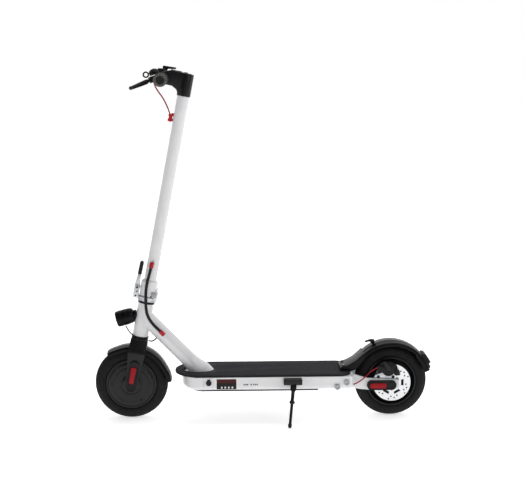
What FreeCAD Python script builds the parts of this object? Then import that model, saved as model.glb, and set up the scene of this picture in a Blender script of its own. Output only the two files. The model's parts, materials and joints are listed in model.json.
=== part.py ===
import FreeCAD, Part

import math
import os
import re

import Sketcher

# Electric kick scooter, millimetres. +Z is up, the scooter drives towards -X and
# the kickstand is on its -Y side. The origin is on the ground, midway along it.

SIZES = {
    "tyre_radius": 115, "tyre_section": 25, "rim_radius": 79.9, "wheelbase": 825,
    "tail_reach": 127, "steering_tilt": 10.9, "head_tube_radius": 25,
    "down_tube_radius": 24.5, "stem_radius": 19, "steerer_radius": 14,
    "hinge_back": 21, "hinge_rise": 292, "hinge_pin_radius": 4,
    "lever_back": -36, "lever_rise": 308, "lever_pin_radius": 2.5,
    "stem_top": 975, "bar_back": -68.8, "bar_rise": 960.3, "bar_radius": 11,
    "bar_half": 205, "grip_radius": 16.5, "grip_half": 215,
    "deck_top": 156, "deck_base": 104, "deck_half": 88, "mat_half": 84,
    "deck_front": 150.7, "deck_rear": 697.5, "wall": 3,
    "fork_half": 56, "arm_half": 62, "axle_radius": 6, "fender_radius": 130,
    "front_fender_radius": 122.5,
    "fender_gap": 117, "rotor_radius": 60, "rotor_offset": -38, "fit_gap": 0.05,
}

V = FreeCAD.Vector
X_AXIS, Y_AXIS, Z_AXIS = V(1, 0, 0), V(0, 1, 0), V(0, 0, 1)
doc = FreeCAD.newDocument("electric_kick_scooter")
sheet = doc.addObject("Spreadsheet::Sheet", "Sizes")
for row, (alias, number) in enumerate(SIZES.items(), 1):
    sheet.set(f"A{row}", alias)
    sheet.set(f"B{row}", str(number))
    sheet.setAlias(f"B{row}", alias)
doc.recompute()
nodes = {}


def bound(expression):
    """The expression with each driving dimension written as its sheet cell."""
    return re.sub(r"[A-Za-z_]+", lambda m: "Sizes." + m.group() if m.group() in SIZES else m.group(),
                  str(expression))


def size(expression):
    return float(sheet.evalExpression(bound(expression)))


FRONT = size("(tyre_radius - wheelbase - tail_reach) / 2")
REAR = FRONT + size("wheelbase")
AXLE = size("tyre_radius")
STEER = FreeCAD.Placement(V(FRONT, 0, AXLE), FreeCAD.Rotation(Y_AXIS, size("steering_tilt")))


def spot(back, side, up, rotation=None):
    """A place given by its distance behind the front axle."""
    return FreeCAD.Placement(V(FRONT + back, side, up), rotation or FreeCAD.Rotation())


def steer(back, side, rise, rotation=None):
    """A place in the steering column's frame: rise runs up the column from the axle."""
    return STEER * FreeCAD.Placement(V(back, side, rise), rotation or FreeCAD.Rotation())


ACROSS = FreeCAD.Rotation(X_AXIS, 90)


# ---- features ----

def primitive(kind, placement, **sizes):
    made = doc.addObject("Part::" + kind, kind)
    for name, expression in sizes.items():
        made.setExpression(name, bound(expression))
    made.Placement = placement or FreeCAD.Placement()
    return made


def rod(radius, length, placement=None, angle=360):
    return primitive("Cylinder", placement, Radius=radius, Height=length, Angle=angle)


def pin(radius, half, placement, angle=360):
    """A cylinder along Y, centred on its place."""
    return rod(radius, f"2 * ({half})", placement * FreeCAD.Placement(V(0, size(half), 0), ACROSS), angle)


def brick(low, high, placement=None):
    lengths = [f"({b}) - ({a})" for a, b in zip(low, high)]
    corner = FreeCAD.Placement(V(*[size(a) for a in low]), FreeCAD.Rotation())
    return primitive("Box", (placement or FreeCAD.Placement()) * corner,
                     Length=lengths[0], Width=lengths[1], Height=lengths[2])


def cut(base, *tools, placement=None):
    made = doc.addObject("Part::Cut", "Cut")
    made.Base = base
    made.Tool = tools[0] if len(tools) == 1 else fuse(*tools)
    made.Placement = placement or FreeCAD.Placement()
    return made


def fuse(*shapes):
    made = doc.addObject("Part::MultiFuse", "Fuse")
    made.Shapes = list(shapes)
    return made


def common(first, second):
    made = doc.addObject("Part::Common", "Common")
    made.Base, made.Tool = first, second
    return made


def group(shapes):
    made = doc.addObject("Part::Compound", "Group")
    made.Links = list(shapes)
    return made


def free(shape, placement=None):
    made = doc.addObject("Part::Feature", "Free")
    made.Shape = shape
    made.Placement = placement or shape.Placement
    return made


def node(label, *made):
    """Adds pieces to a node: a node with more than one is a group of separate solids."""
    nodes.setdefault(label, []).extend(made)


def outline_sketch(body, role, corners, offset):
    """A closed sketch of straight lines whose corners are bound to the sheet."""
    plane = next(f for f in body.Origin.OriginFeatures if f.Role == role)
    sketch = body.newObject("Sketcher::SketchObject", "Outline")
    sketch.AttachmentSupport = [(plane, "")]
    sketch.MapMode = "FlatFace"
    sketch.AttachmentOffset = FreeCAD.Placement(V(0, 0, size(offset)), FreeCAD.Rotation())
    points = [V(size(a), size(b), 0) for a, b in corners]
    count = len(points)
    for i in range(count):
        sketch.addGeometry(Part.LineSegment(points[i], points[(i + 1) % count]), False)
    for i in range(count):
        sketch.addConstraint(Sketcher.Constraint("Coincident", i, 2, (i + 1) % count, 1))
        for kind, expression in zip(("DistanceX", "DistanceY"), corners[i]):
            number = size(expression)
            index = sketch.addConstraint(Sketcher.Constraint(kind, -1, 1, i, 1, number))
            if re.search("[A-Za-z]", str(expression)):
                sketch.setExpression(f"Constraints[{index}]", bound(expression))
    return sketch


def slab(corners, low, high, placement=None, rounds=(), plane="XZ_Plane"):
    """An outline padded from low to high along Y, or along Z from the XY plane.
    rounds holds (radius, corner numbers): those upright edges are filleted."""
    body = doc.addObject("PartDesign::Body", "Body")
    upright = plane == "XY_Plane"
    sketch = outline_sketch(body, plane, corners, low if upright else f"-({high})")
    feature = body.newObject("PartDesign::Pad", "Pad")
    feature.Profile = sketch
    feature.setExpression("Length", bound(f"({high}) - ({low})"))
    for radius, numbers in rounds:
        doc.recompute()
        wanted = [(size(corners[n][0]), size(corners[n][1])) for n in numbers]
        edges = []
        for index, edge in enumerate(feature.Shape.Edges, 1):
            ends = [v.Point for v in edge.Vertexes]
            flat = [(p.x, p.y if upright else p.z) for p in ends]
            if len(flat) == 2 and math.dist(*flat) < 1e-6:
                if any(math.dist(flat[0], w) < 1e-4 for w in wanted):
                    edges.append(f"Edge{index}")
        fillet = body.newObject("PartDesign::Fillet", "Fillet")
        fillet.Base = (feature, edges)
        fillet.setExpression("Radius", bound(radius))
        feature = fillet
    body.Placement = placement or FreeCAD.Placement()
    return body


def lathe(corners, placement=None, plane="XZ_Plane"):
    """An outline of (radius, height) turned about Z, or about Y from the XY plane."""
    body = doc.addObject("PartDesign::Body", "Body")
    sketch = outline_sketch(body, plane, corners, 0)
    turned = body.newObject("PartDesign::Revolution", "Revolution")
    turned.Profile = sketch
    turned.ReferenceAxis = (sketch, ["V_Axis"])
    turned.Angle = 360
    body.Placement = placement or FreeCAD.Placement()
    return body


def hexagon(across_flats, height, placement):
    reach = size(across_flats) / math.sqrt(3)
    corners = [(reach * math.cos(math.radians(60 * k)), reach * math.sin(math.radians(60 * k)))
               for k in range(6)]
    return slab(corners, 0, height, placement, plane="XY_Plane")


def tube_path(points):
    """Straight runs joined by tangent arcs, each as large as its runs allow."""
    points = [V(*p) for p in points]
    edges, start, radii = [], points[0], []
    for before, here, after in zip(points, points[1:], points[2:]):
        run_in, run_out = here - before, after - here
        half_turn = run_in.getAngle(run_out) / 2
        back = 0.45 * min(run_in.Length, run_out.Length)
        radii.append(back / math.tan(half_turn))
        first = here - run_in.normalize() * back
        last = here + run_out.normalize() * back
        chord_middle = (first + last) * 0.5
        inward = (chord_middle - here).normalize()
        reach = math.hypot(back, radii[-1]) - radii[-1]
        edges.append(Part.LineSegment(start, first).toShape())
        edges.append(Part.Arc(first, here + inward * reach, last).toShape())
        start = last
    edges.append(Part.LineSegment(start, points[-1]).toShape())
    return Part.Wire(edges), radii


def cable(label, points, radius):
    """A round tube along its route, given behind the front axle like spot()."""
    path, radii = tube_path([(FRONT + x, y, z) for x, y, z in points])
    start = path.Edges[0]
    circle = Part.Circle(start.valueAt(start.FirstParameter), start.tangentAt(start.FirstParameter), radius)
    solid = path.makePipeShell([Part.Wire(circle.toShape())], True, True)
    share = solid.Volume / (math.pi * radius ** 2 * path.Length)
    print(f"{label}: length {path.Length:.0f}, volume share {share:.3f}, "
          f"radii {[round(r) for r in radii]}")
    node(label, free(solid))


# ---- wheels ----

def tyre(prefix, x):
    section, middle = "tyre_section", "tyre_radius - tyre_section"
    turn = FreeCAD.Placement(V(x, 0, AXLE), ACROSS)
    carcass = primitive("Torus", turn, Radius1=middle, Radius2=section)
    cavity = primitive("Torus", turn, Radius1=middle, Radius2=f"{section} - 5")
    bead_bore = pin("rim_radius + 0.1", 30, turn * FreeCAD.Placement(V(), ACROSS.inverted()))
    node(prefix + "_tyre", cut(carcass, cavity, bead_bore))
    ring = primitive("Torus", turn, Radius1=f"{middle} + 5", Radius2=f"{section} - 11")
    air = primitive("Torus", turn, Radius1=f"{middle} + 5", Radius2=f"{section} - 12.5")
    node(prefix + "_tyre", cut(ring, air))


def bolt_circle(count, circle, radius, low, high, x, start=0):
    """Screws along Y on a circle about an axle."""
    made = []
    for k in range(count):
        angle = math.radians(start + 360 / count * k)
        place = FreeCAD.Placement(V(x + circle * math.cos(angle), high, AXLE + circle * math.sin(angle)), ACROSS)
        made.append(rod(radius, high - low, place))
    return made


BEARING_OUT = 16
STATOR_RADIUS = 62.5


def bearing_pair(label, x, inner_faces, outer):
    rings = []
    for low, high in inner_faces:
        bore = "axle_radius + fit_gap"
        rings.append(lathe([(bore, low), (outer, low), (outer, high), (bore, high)],
                           spot(x - FRONT, 0, AXLE), "XY_Plane"))
    node(label, *rings)


def front_wheel():
    hub = spot(0, 0, AXLE)
    tyre("front", FRONT)
    boss = BEARING_OUT + 0.1
    shell = lathe([(boss, 24), (boss, 34), (26, 34), (30, 30), (70, 28), ("rim_radius", 24),
                   ("rim_radius", -24), (76, -26), (70.1, -26), (70.1, 24)], hub, "XY_Plane")
    node("motor_shell", shell)
    cover = lathe([(boss, -24), (66, -24), (66, -20), (70, -20), (70, -28), (67, -30), (58, -30), (56, -31.5),
                   (30, -31.5), (26, -34), (boss, -34)], hub, "XY_Plane")
    node("motor_cover", cut(cover, *bolt_circle(6, 62, 2.05, -40, -22, FRONT)))
    screws = zip(bolt_circle(6, 62, 3.6, -32, -30, FRONT), bolt_circle(6, 62, 2, -30, -24, FRONT))
    node("motor_hardware", *[fuse(head, shank) for head, shank in screws])
    node("motor_magnets", lathe([(STATOR_RADIUS + 1, -19.5), (69.9, -19.5), (69.9, 22), (STATOR_RADIUS + 1, 22)],
                                hub, "XY_Plane"))
    bearing_pair("motor_hardware", FRONT, ((-33, -25), (25, 33)), BEARING_OUT)
    return hub


def motor_core(hub):
    """What stays still inside the hub: the stator on its axle, clamped in the fork."""
    core = lathe([("axle_radius + 0.1", -20), (24, -20), (24, -17), (STATOR_RADIUS, -17), (STATOR_RADIUS, 17),
                  (24, 17), (24, 20), ("axle_radius + 0.1", 20)], hub, "XY_Plane")
    slots = []
    for k in range(18):
        turn = FreeCAD.Placement(hub.Base, FreeCAD.Rotation(Y_AXIS, 20 * k))
        slots.append(brick((36, -18, -2.5), (STATOR_RADIUS - 3, 18, 2.5), turn))
        slots.append(brick((36, -18, -1), (STATOR_RADIUS + 1, 18, 1), turn))
    node("motor_core", cut(core, *slots))
    node("motor_core", pin("axle_radius", 64, hub))
    for side in (-1, 1):
        face = FreeCAD.Placement(V(FRONT, side * size("fork_half"), AXLE), FreeCAD.Rotation(X_AXIS, -90 * side))
        node("fork_hardware", cut(hexagon(17, 6, face), rod("axle_radius + 0.1", 8, face)))


def rear_wheel():
    hub = FreeCAD.Placement(V(REAR, 0, AXLE), FreeCAD.Rotation())
    tyre("rear", REAR)
    rim = lathe([(13.1, -36), (27, -36), (27, -12), (34, -6), (66, -6), (72, -22), (77, -25), ("rim_radius", -23),
                 ("rim_radius", 23), (77, 25), (72, 22), (68, 2), (34, 2), (27, 8), (27, 24), (13.1, 24)],
                hub, "XY_Plane")
    threads = bolt_circle(6, 22, 2.55, -37, -24, REAR, 30)
    node("rear_rim", cut(rim, *threads))
    face = "rotor_offset"
    disc = lathe([(14, face), ("rotor_radius", face), ("rotor_radius", f"{face} + 1.9"), (14, f"{face} + 1.9")],
                 hub, "XY_Plane")
    windows = []
    for k in range(6):
        turn = FreeCAD.Placement(hub.Base, FreeCAD.Rotation(Y_AXIS, 60 * k))
        windows.append(slab([(30, -9), (38, -11), (38, 11), (30, 9)], -40, -34, turn))
        for reach, tilt in ((46, 8), (51, 20), (46, 32), (55, 40)):
            hole = turn * FreeCAD.Placement(V(), FreeCAD.Rotation(Y_AXIS, tilt))
            windows.append(pin(2.5, 45, hole * FreeCAD.Placement(V(reach, 0, 0), FreeCAD.Rotation())))
    holes = bolt_circle(6, 22, 2.55, -40, -30, REAR, 30)
    node("brake_rotor", cut(disc, *windows, *holes))
    bolts = zip(bolt_circle(6, 22, 4.5, -40.5, -38, REAR, 30), bolt_circle(6, 22, 2.5, -38, -25, REAR, 30))
    node("rear_hub_hardware", *[fuse(head, shank) for head, shank in bolts])
    bearing_pair("rear_hub_hardware", REAR, ((-34, -26), (14, 22)), 13)
    return hub


def rear_axle(hub):
    node("rear_axle", pin("axle_radius", 68, hub))
    sleeve = "axle_radius + 0.1"
    sleeves = [lathe([(sleeve, a), (9, a), (9, b), (sleeve, b)], hub, "XY_Plane")
               for a, b in (("-arm_half + 8", -34.3), (22.3, "arm_half - 8"))]
    node("rear_axle", *sleeves)
    for side in (-1, 1):
        face = FreeCAD.Placement(V(REAR, side * size("arm_half"), AXLE), FreeCAD.Rotation(X_AXIS, -90 * side))
        node("rear_axle", cut(hexagon(13, 5, face), rod("axle_radius + 0.1", 8, face)))


# ---- fork, fenders and lights ----

def fender_arc(radius, half, start, angle, hub):
    """A U-shaped mudguard about an axle, from start degrees above the rearward line."""
    turn = FreeCAD.Placement(hub.Base, FreeCAD.Rotation(Y_AXIS, -start))
    outer = pin(radius, half, turn, angle)
    inner = pin(f"{radius} - 3", f"{half} - 3", turn * FreeCAD.Placement(V(), FreeCAD.Rotation(Y_AXIS, 1)),
                f"{angle} + 2")
    return outer, [inner, pin("fender_gap", f"{half} + 5", hub)]


def fork(hub):
    leg = [(-27, 150), (27, 150), (27, 108), (22, 52), (17.5, 10), (17.5, -17), (-17.5, -17), (-17.5, 10),
           (-21, 52), (-28, 108)]
    legs = []
    for low, high in (("-fork_half", "10 - fork_half"), ("fork_half - 10", "fork_half")):
        rounds = ((16, (5, 6)), (30, (2, 9)))
        legs.append(slab(leg, low, high, STEER, rounds))
    crown = slab([(-27, 133), (27, 133), (27, 150), (-27, 150)], "-fork_half", "fork_half", STEER)
    wall_in, wall_out = "steerer_radius - 3", "steerer_radius"
    steerer = lathe([(wall_in, 140), (wall_out, 140), (wall_out, 270), (wall_in, 270)], STEER)
    node("fork", cut(fuse(*legs, crown, steerer), pin("axle_radius + 0.1", 70, hub)))
    outline = [(-17, 84), (17, 84), (16, 10), (16, -15), (-16, -15), (-16, 10)]
    pocket = [(-14, 81), (14, 81), (13, 8), (13, -12), (-13, -12), (-13, 8)]
    for side in (-1, 1):
        low, high = sorted((side * 56, side * 66))
        deep = sorted((side * 55, side * 64))
        shell = slab(outline, low, high, STEER, ((12, (0, 1)), (15, (3, 4))))
        node("fork_trim", cut(shell, slab(pocket, *deep, STEER, ((9, (0, 1)), (12, (3, 4))))))
        low, high = sorted((side * 66, side * 68))
        node("fork_reflectors", slab([(-6.5, 12), (6.5, 12), (8.5, 66), (-8.5, 66)], low, high, STEER,
                                     ((6, (0, 1, 2, 3)),)))
    outer, tools = fender_arc("front_fender_radius", 32, 5.8, 118, hub)
    boss = slab([(-20, 118), (20, 118), (20, 132.8), (-20, 132.8)], -14, 14, STEER)
    node("front_fender", cut(fuse(outer, boss), *tools))


def front_fender_screws():
    node("fork_hardware", *[rod(3, 1.5, steer(a, 0, 117.1)) for a in (-12, 12)])


def headset():
    inner = "head_tube_radius - 4"
    ring = "head_tube_radius + 1.2"
    for a in (152, 262):
        node("headset_cups", lathe([(inner, a), (ring, a), (ring, a + 4), (inner, a + 4)], STEER))
    shaft = "steerer_radius + fit_gap"
    race = "head_tube_radius - 4.1"
    for a in (156.5, 254.5):
        node("headset_cups", lathe([(shaft, a), (race, a), (race, a + 7), (shaft, a + 7)], STEER))
    seat = "steerer_radius + 0.1"
    for a, b in ((150, 151.6), (266.4, 269.9)):
        node("fork_trim", lathe([(seat, a), (ring, a), (ring, b), (seat, b)], STEER))


LAMP = spot(4.5, 0, 332.5, FreeCAD.Rotation(Y_AXIS, -(90 + 16)))


def headlight():
    body = lathe([(0, -7), (15, -7), (20, -3), (24, 7), (25.5, 14), (25.5, 30), (24.6, 32), (25, 34), (23.5, 50), (21, 50),
                  (21, 40), (21, 10), (0, 6)], LAMP)
    post = rod("head_tube_radius + 0.02", 140, steer(0, 0, 140))
    node("headlight_body", cut(body, post))
    node("headlight_lens", lathe([(0, 44), (20.9, 43), (20.9, 47.5), (12, 49.5), (0, 50)], LAMP))
    neck = fuse(rod(14, 20, LAMP * FreeCAD.Placement(V(0, 0, -23), FreeCAD.Rotation())),
                brick((-44, -9, -7), (-20, 9, 9), STEER * FreeCAD.Placement(V(0, 0, 216), FreeCAD.Rotation())))
    lamp_room = rod(60, 70, LAMP * FreeCAD.Placement(V(0, 0, -7), FreeCAD.Rotation()))
    node("headlight_body", cut(neck, rod("head_tube_radius + 0.02", 140, steer(0, 0, 140)), lamp_room))


# ---- frame and deck ----

DOWN_TOP = V(FRONT + 41.8, 0, 332)
DOWN_FOOT = V(FRONT + 211.5, 0, 156)


def frame_tubes():
    inner = "head_tube_radius - 4"
    node("head_tube", lathe([(inner, 156), ("head_tube_radius", 156), ("head_tube_radius", 262), (inner, 262)],
                            STEER))
    along = DOWN_FOOT - DOWN_TOP
    turn = FreeCAD.Placement(DOWN_TOP, FreeCAD.Rotation(Z_AXIS, along))
    outer = rod("down_tube_radius", along.Length + 60, turn)
    flare = lathe([(0, 205), ("down_tube_radius", 205), (28, 232), (34, 250), (34, 300), (0, 300)], turn)
    bore = rod("down_tube_radius - 3", along.Length + 60, turn)
    deck_plane = brick((0, -100, "deck_top - 90"), (400, 100, "deck_top - 6"), spot(0, 0, 0))
    head = rod("head_tube_radius + 0.02", 200, steer(0, 0, 130))
    node("down_tube", cut(fuse(outer, flare), bore, deck_plane, head))


def deck_outline(front, half, rear, corner, squash=1.0):
    """The deck seen from above: a half ellipse in front and rounded corners behind."""
    nose = size(half) * squash
    centre = V(FRONT + size(front) + nose, 0, 0)
    back, side = FRONT + size(rear), size(half)
    ellipse = Part.Ellipse(centre + V(0, side, 0), centre + V(-nose, 0, 0), centre)
    quarter = math.pi / 2
    first = Part.ArcOfEllipse(ellipse, 0, quarter)
    second = Part.ArcOfEllipse(ellipse, quarter, 2 * quarter)
    arcs = [first.toShape(), second.toShape()]
    low, high = V(centre.x, -side, 0), V(centre.x, side, 0)
    turn_low, turn_high = V(back - corner, -side + corner, 0), V(back - corner, side - corner, 0)
    half_way = corner * math.sqrt(0.5)
    edges = arcs + [
        Part.LineSegment(low, V(back - corner, -side, 0)).toShape(),
        Part.Arc(V(back - corner, -side, 0), turn_low + V(half_way, -half_way, 0),
                 V(back, -side + corner, 0)).toShape(),
        Part.LineSegment(V(back, -side + corner, 0), V(back, side - corner, 0)).toShape(),
        Part.Arc(V(back, side - corner, 0), turn_high + V(half_way, half_way, 0),
                 V(back - corner, side, 0)).toShape(),
        Part.LineSegment(V(back - corner, side, 0), high).toShape(),
    ]
    return Part.Face(Part.Wire(Part.__sortEdges__(edges)))


def raised(face, low, high):
    solid = face.extrude(V(0, 0, high - low))
    solid.translate(V(0, 0, low))
    return solid


def edges_at(solid, height):
    return [e for e in solid.Edges if all(abs(v.Point.z - height) < 1e-6 for v in e.Vertexes)]


MAT_BASE = size("deck_top") - 6
CHARGE = (245, 133)


def deck():
    base, top = size("deck_base") + 3, MAT_BASE
    nose = (218 - size("deck_front")) / size("deck_half")
    tray = raised(deck_outline("deck_front", "deck_half", "deck_rear", 14, nose), base, top)
    tray = tray.makeFillet(14, edges_at(tray, base))
    tray = tray.makeFillet(2.5, edges_at(tray, top))
    wall = size("wall")
    room = raised(deck_outline("deck_front + 12 + wall", "deck_half - wall", 600, 6, nose), base - 5, top - wall)
    bay = raised(deck_outline("deck_front + 12 + wall", "deck_half - wall - 10", 590, 6, nose), base - 5, top - 20)
    hollow = room.cut(raised(Part.makePlane(900, 400, V(FRONT, -200, 0)), base - 10, base + 11)).fuse(bay)
    slot_back = Part.makeBox(60, 76, 60, V(FRONT + 676, -38, base - 5))
    socket = Part.makeCylinder(7.6, 30, V(FRONT + CHARGE[0], -70, CHARGE[1]), V(0, -1, 0))
    node("deck_shell", free(tray.cut(hollow).cut(slot_back).cut(socket)))

    mat_nose = (218 - 138.4) / size("mat_half")
    mat = raised(deck_outline("138.4", "mat_half", "deck_rear - 6", 40, mat_nose), top, size("deck_top"))
    mat = mat.makeFillet(2, edges_at(mat, size("deck_top")))
    collar = Part.makeCylinder(34.6, 320, DOWN_TOP, DOWN_FOOT - DOWN_TOP)
    heel = Part.makeBox(60, 80, 20, V(FRONT + 661, -40, top - 2))
    node("deck_mat", free(mat.cut(collar).cut(heel)))

    cover = raised(deck_outline("deck_front + 30", "deck_half - 10", 588, 5, nose * 0.8),
                   size("deck_base"), base)
    node("bottom_cover", free(cover))
    heads = [rod(3.2, 1.4, spot(x, side * 70, size("deck_base") - 1.4))
             for x in (240, 350, 460, 570) for side in (-1, 1)]
    node("frame_screws", *heads)


def electrics():
    cells = [rod(9, 66, spot(282 + 19.5 * k, side * 34 + 33, 118, ACROSS)) for k in range(14) for side in (-1, 1)]
    node("electronics", *cells)
    tray = brick((270, -70, 108), (550, 70, 130), spot(0, 0, 0))
    node("electronics", cut(tray, brick((272, -68.5, 108.9), (548, 68.5, 131), spot(0, 0, 0))))
    node("electronics", brick((290, -50, 131), (400, 50, 132.6), spot(0, 0, 0)))
    node("electronics", brick((222, -55, 112), (264, 55, 128), spot(0, 0, 0)))


def side_fittings():
    x, z = CHARGE
    node("electronics", cut(rod(7.5, 14, spot(x, -73.8, z, ACROSS)), rod(2.5, 8, spot(x, -80, z, ACROSS))))
    cap = fuse(rod(8.5, 2.4, spot(x, -size("deck_half") - 0.3, z, ACROSS)),
               brick((x - 5, -90.7, z + 5), (x + 5, -88.3, z + 10.5), spot(0, 0, 0)),
               rod(1.2, 10, spot(x - 5, -89.5, z + 10.5, FreeCAD.Rotation(Y_AXIS, 90))))
    node("charge_cap", cap)


def rear_arms():
    outline = [(697.5, 150), (704, 150), (742, 137.5), (790, 134), (838, 131), (846, 124), (846, 106), (838, 99),
               (752, 99), (719.5, 101.5), (697.5, 108)]
    for side in (-1, 1):
        low, high = sorted((f"{side} * (arm_half - 8)", f"{side} * arm_half"), key=size)
        arm = slab(outline, low, high, spot(0, 0, 0), ((8, (5, 6)), (20, (2,))))
        node("rear_arms", cut(arm, pin("axle_radius + 0.1", 80, spot(size("wheelbase"), 0, AXLE))))
        low, high = sorted((side * 62, side * 72))
        shell = slab([(742.7, 100), (835.7, 100), (835.7, 130.3), (742.7, 130.3)], low, high, spot(0, 0, 0),
                     ((14.5, (0, 1, 2, 3)),))
        low, high = sorted((side * 61, side * 70))
        pocket = slab([(745.7, 103), (843, 103), (843, 127.3), (745.7, 127.3)], low, high, spot(0, 0, 0),
                      ((11.5, (0, 3)),))
        lid = slab([(735, 95), (833, 95), (833, 135), (735, 135)], low, high, spot(0, 0, 0))
        node("rear_covers", cut(shell, common(pocket, lid)))
        low, high = sorted((side * 72, side * 73.5))
        node("rear_lenses", slab([(751.5, 106), (803.6, 106), (803.6, 122.5), (751.5, 122.5)], low, high,
                                 spot(0, 0, 0), ((7.5, (0, 1, 2, 3)),)))
    for back, up in ((646.8, 117.2), (676, 131.1)):
        for side in (-1, 1):
            turn = FreeCAD.Rotation(X_AXIS, -90 * side)
            place = spot(back, side * size("deck_half"), up, turn)
            key = place * FreeCAD.Placement(V(0, 0, 2), FreeCAD.Rotation())
            node("frame_screws", cut(rod(9, 4, place), hexagon(8, 3, key)))


def rear_fender(hub):
    outer, tools = fender_arc("fender_radius", 38, 17, 123, hub)
    ramp = slab([(661, 150.5), (696, 150.5), (714, 160), (738, 188), (745, 205), (735, 212), (706, 184),
                 (683, 172), (661, 167)], -38, 38, spot(0, 0, 0))
    under = slab([(664, 149), (690, 149), (706, 158), (736, 190), (750, 209), (737.5, 209), (708, 181), (684, 169),
                  (664, 163.5)], -35, 35, spot(0, 0, 0))
    node("rear_fender", cut(fuse(outer, ramp), *tools, under))
    node("rear_fender", slab([(764, 231), (772, 236), (771, 247), (758, 247.5), (742, 241), (742, 237), (757, 240)],
                             -5, 5, spot(0, 0, 0)))
    lamp = slab([(941, 150.5), ("wheelbase + tail_reach", 150.5), ("wheelbase + tail_reach - 0.5", 172),
                 (932, 200), (916, 200)], -26, 26, spot(0, 0, 0))
    node("rear_lenses", cut(lamp, pin("fender_radius + 0.02", 60, hub)))
    ramp_slope = FreeCAD.Rotation(Y_AXIS, -12.8)
    node("frame_screws", *[rod(4, 2.5, spot(672, side * 24, 169.6, ramp_slope)) for side in (-1, 1)])


def caliper():
    plate = slab([(768, 129), (836, 129), (836, 146), (822, 152), (790, 152), (768, 144)], -53.9, -50,
                 spot(0, 0, 0), ((6, (0, 1)),))
    holes = [pin(3.05, 60, spot(x, 0, 137.5)) for x in (778, 827)]
    node("caliper_bracket", cut(plate, *holes))
    body = slab([(781, 146), (826, 146), (843, 158), (840, 172), (822, 184), (790, 184), (779, 172)], -49.9, -27,
                spot(0, 0, 0), ((5, (2, 3, 4, 5, 6)),))
    slot = brick((770, -41, 140), (850, -33, 179), spot(0, 0, 0))
    node("caliper_body", cut(body, slot))
    pads = [brick((798, low, 152), (824, high, 172), spot(0, 0, 0)) for low, high in ((-40.9, -38.6), (-35.6, -33.1))]
    node("caliper_body", *pads)
    for x in (778, 827):
        node("frame_screws", fuse(rod(5, 2.2, spot(x, -47.7, 137.5, ACROSS)), rod(3, 4, spot(x, -49.9, 137.5, ACROSS))))
    arm = slab([(806, 158), (818, 158), (819, 170), (800, 190), (792, 187), (804, 168)], -54, -50.3,
               spot(0, 0, 0), ((4, (0, 1, 2, 3, 4)),))
    pivot = spot(812, -52, 164)
    node("caliper_arm", cut(arm, pin(2.55, 10, pivot)))
    node("caliper_body", fuse(pin(2.5, 2.1, pivot), pin(4.2, 0.5, spot(812, -54.6, 164))))


# ---- kickstand ----

PIVOT = V(FRONT + 508, -100, 114)
FOOT = V(FRONT + 495.5, -136.8, 6.6)
FOLDED = V(0.99, -0.06, 0.07)


def kickstand():
    down = FOOT - PIVOT
    length = down.Length
    down.normalize()
    axis = down.cross(FOLDED).normalize()
    swing = math.degrees(down.getAngle(FOLDED))
    print("kickstand pin axis", [round(c, 4) for c in axis], "swing", round(swing, 1),
          "pivot", [round(c / 1000, 5) for c in PIVOT])
    turn = FreeCAD.Placement(PIVOT, FreeCAD.Rotation(axis, V(), down, "ZXY"))
    along_pin = FreeCAD.Rotation(Y_AXIS, 90)

    def barrel(radius, low, high):
        return rod(radius, high - low, turn * FreeCAD.Placement(V(low, 0, 0), along_pin))

    cheeks = [barrel(9, 5.3, 9.3), barrel(9, -9.3, -5.3), brick((5.3, -9, -22), (9.3, 9, 0), turn),
              brick((-9.3, -9, -22), (-5.3, 9, 0), turn), brick((-9.3, -9, -26), (9.3, 9, -11), turn)]
    block = brick((478, -104, 124), (536, "-deck_half", 147), spot(0, 0, 0))
    wall = brick((400, "-deck_half", 90), (600, 0, 160), spot(0, 0, 0))
    hub_room = cut(barrel(10.2, -5.3, 5.3), brick((-20, -20, -20), (20, 20, -19), turn))
    node("kickstand_bracket", cut(fuse(*cheeks, block), wall, hub_room, barrel(3, -12, 12)))
    node("kickstand_bracket", fuse(barrel(3, -9.3, 9.3), barrel(5, 9.3, 11)))
    leg = fuse(barrel(8.5, -5, 5), rod(5, 40, turn), rod(4, length - 8, turn),
               rod(7, 5, turn * FreeCAD.Placement(V(0, 0, 38), FreeCAD.Rotation())))
    node("kickstand", cut(leg, barrel("3 + fit_gap", -10, 10)))
    tip = turn * FreeCAD.Placement(V(0, 0, length - 7.9), FreeCAD.Rotation())
    ball = primitive("Sphere", FreeCAD.Placement(FOOT, FreeCAD.Rotation()), Radius=6)
    node("kickstand", fuse(rod(6, 7.9, tip), ball))


# ---- folding joint ----

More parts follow.
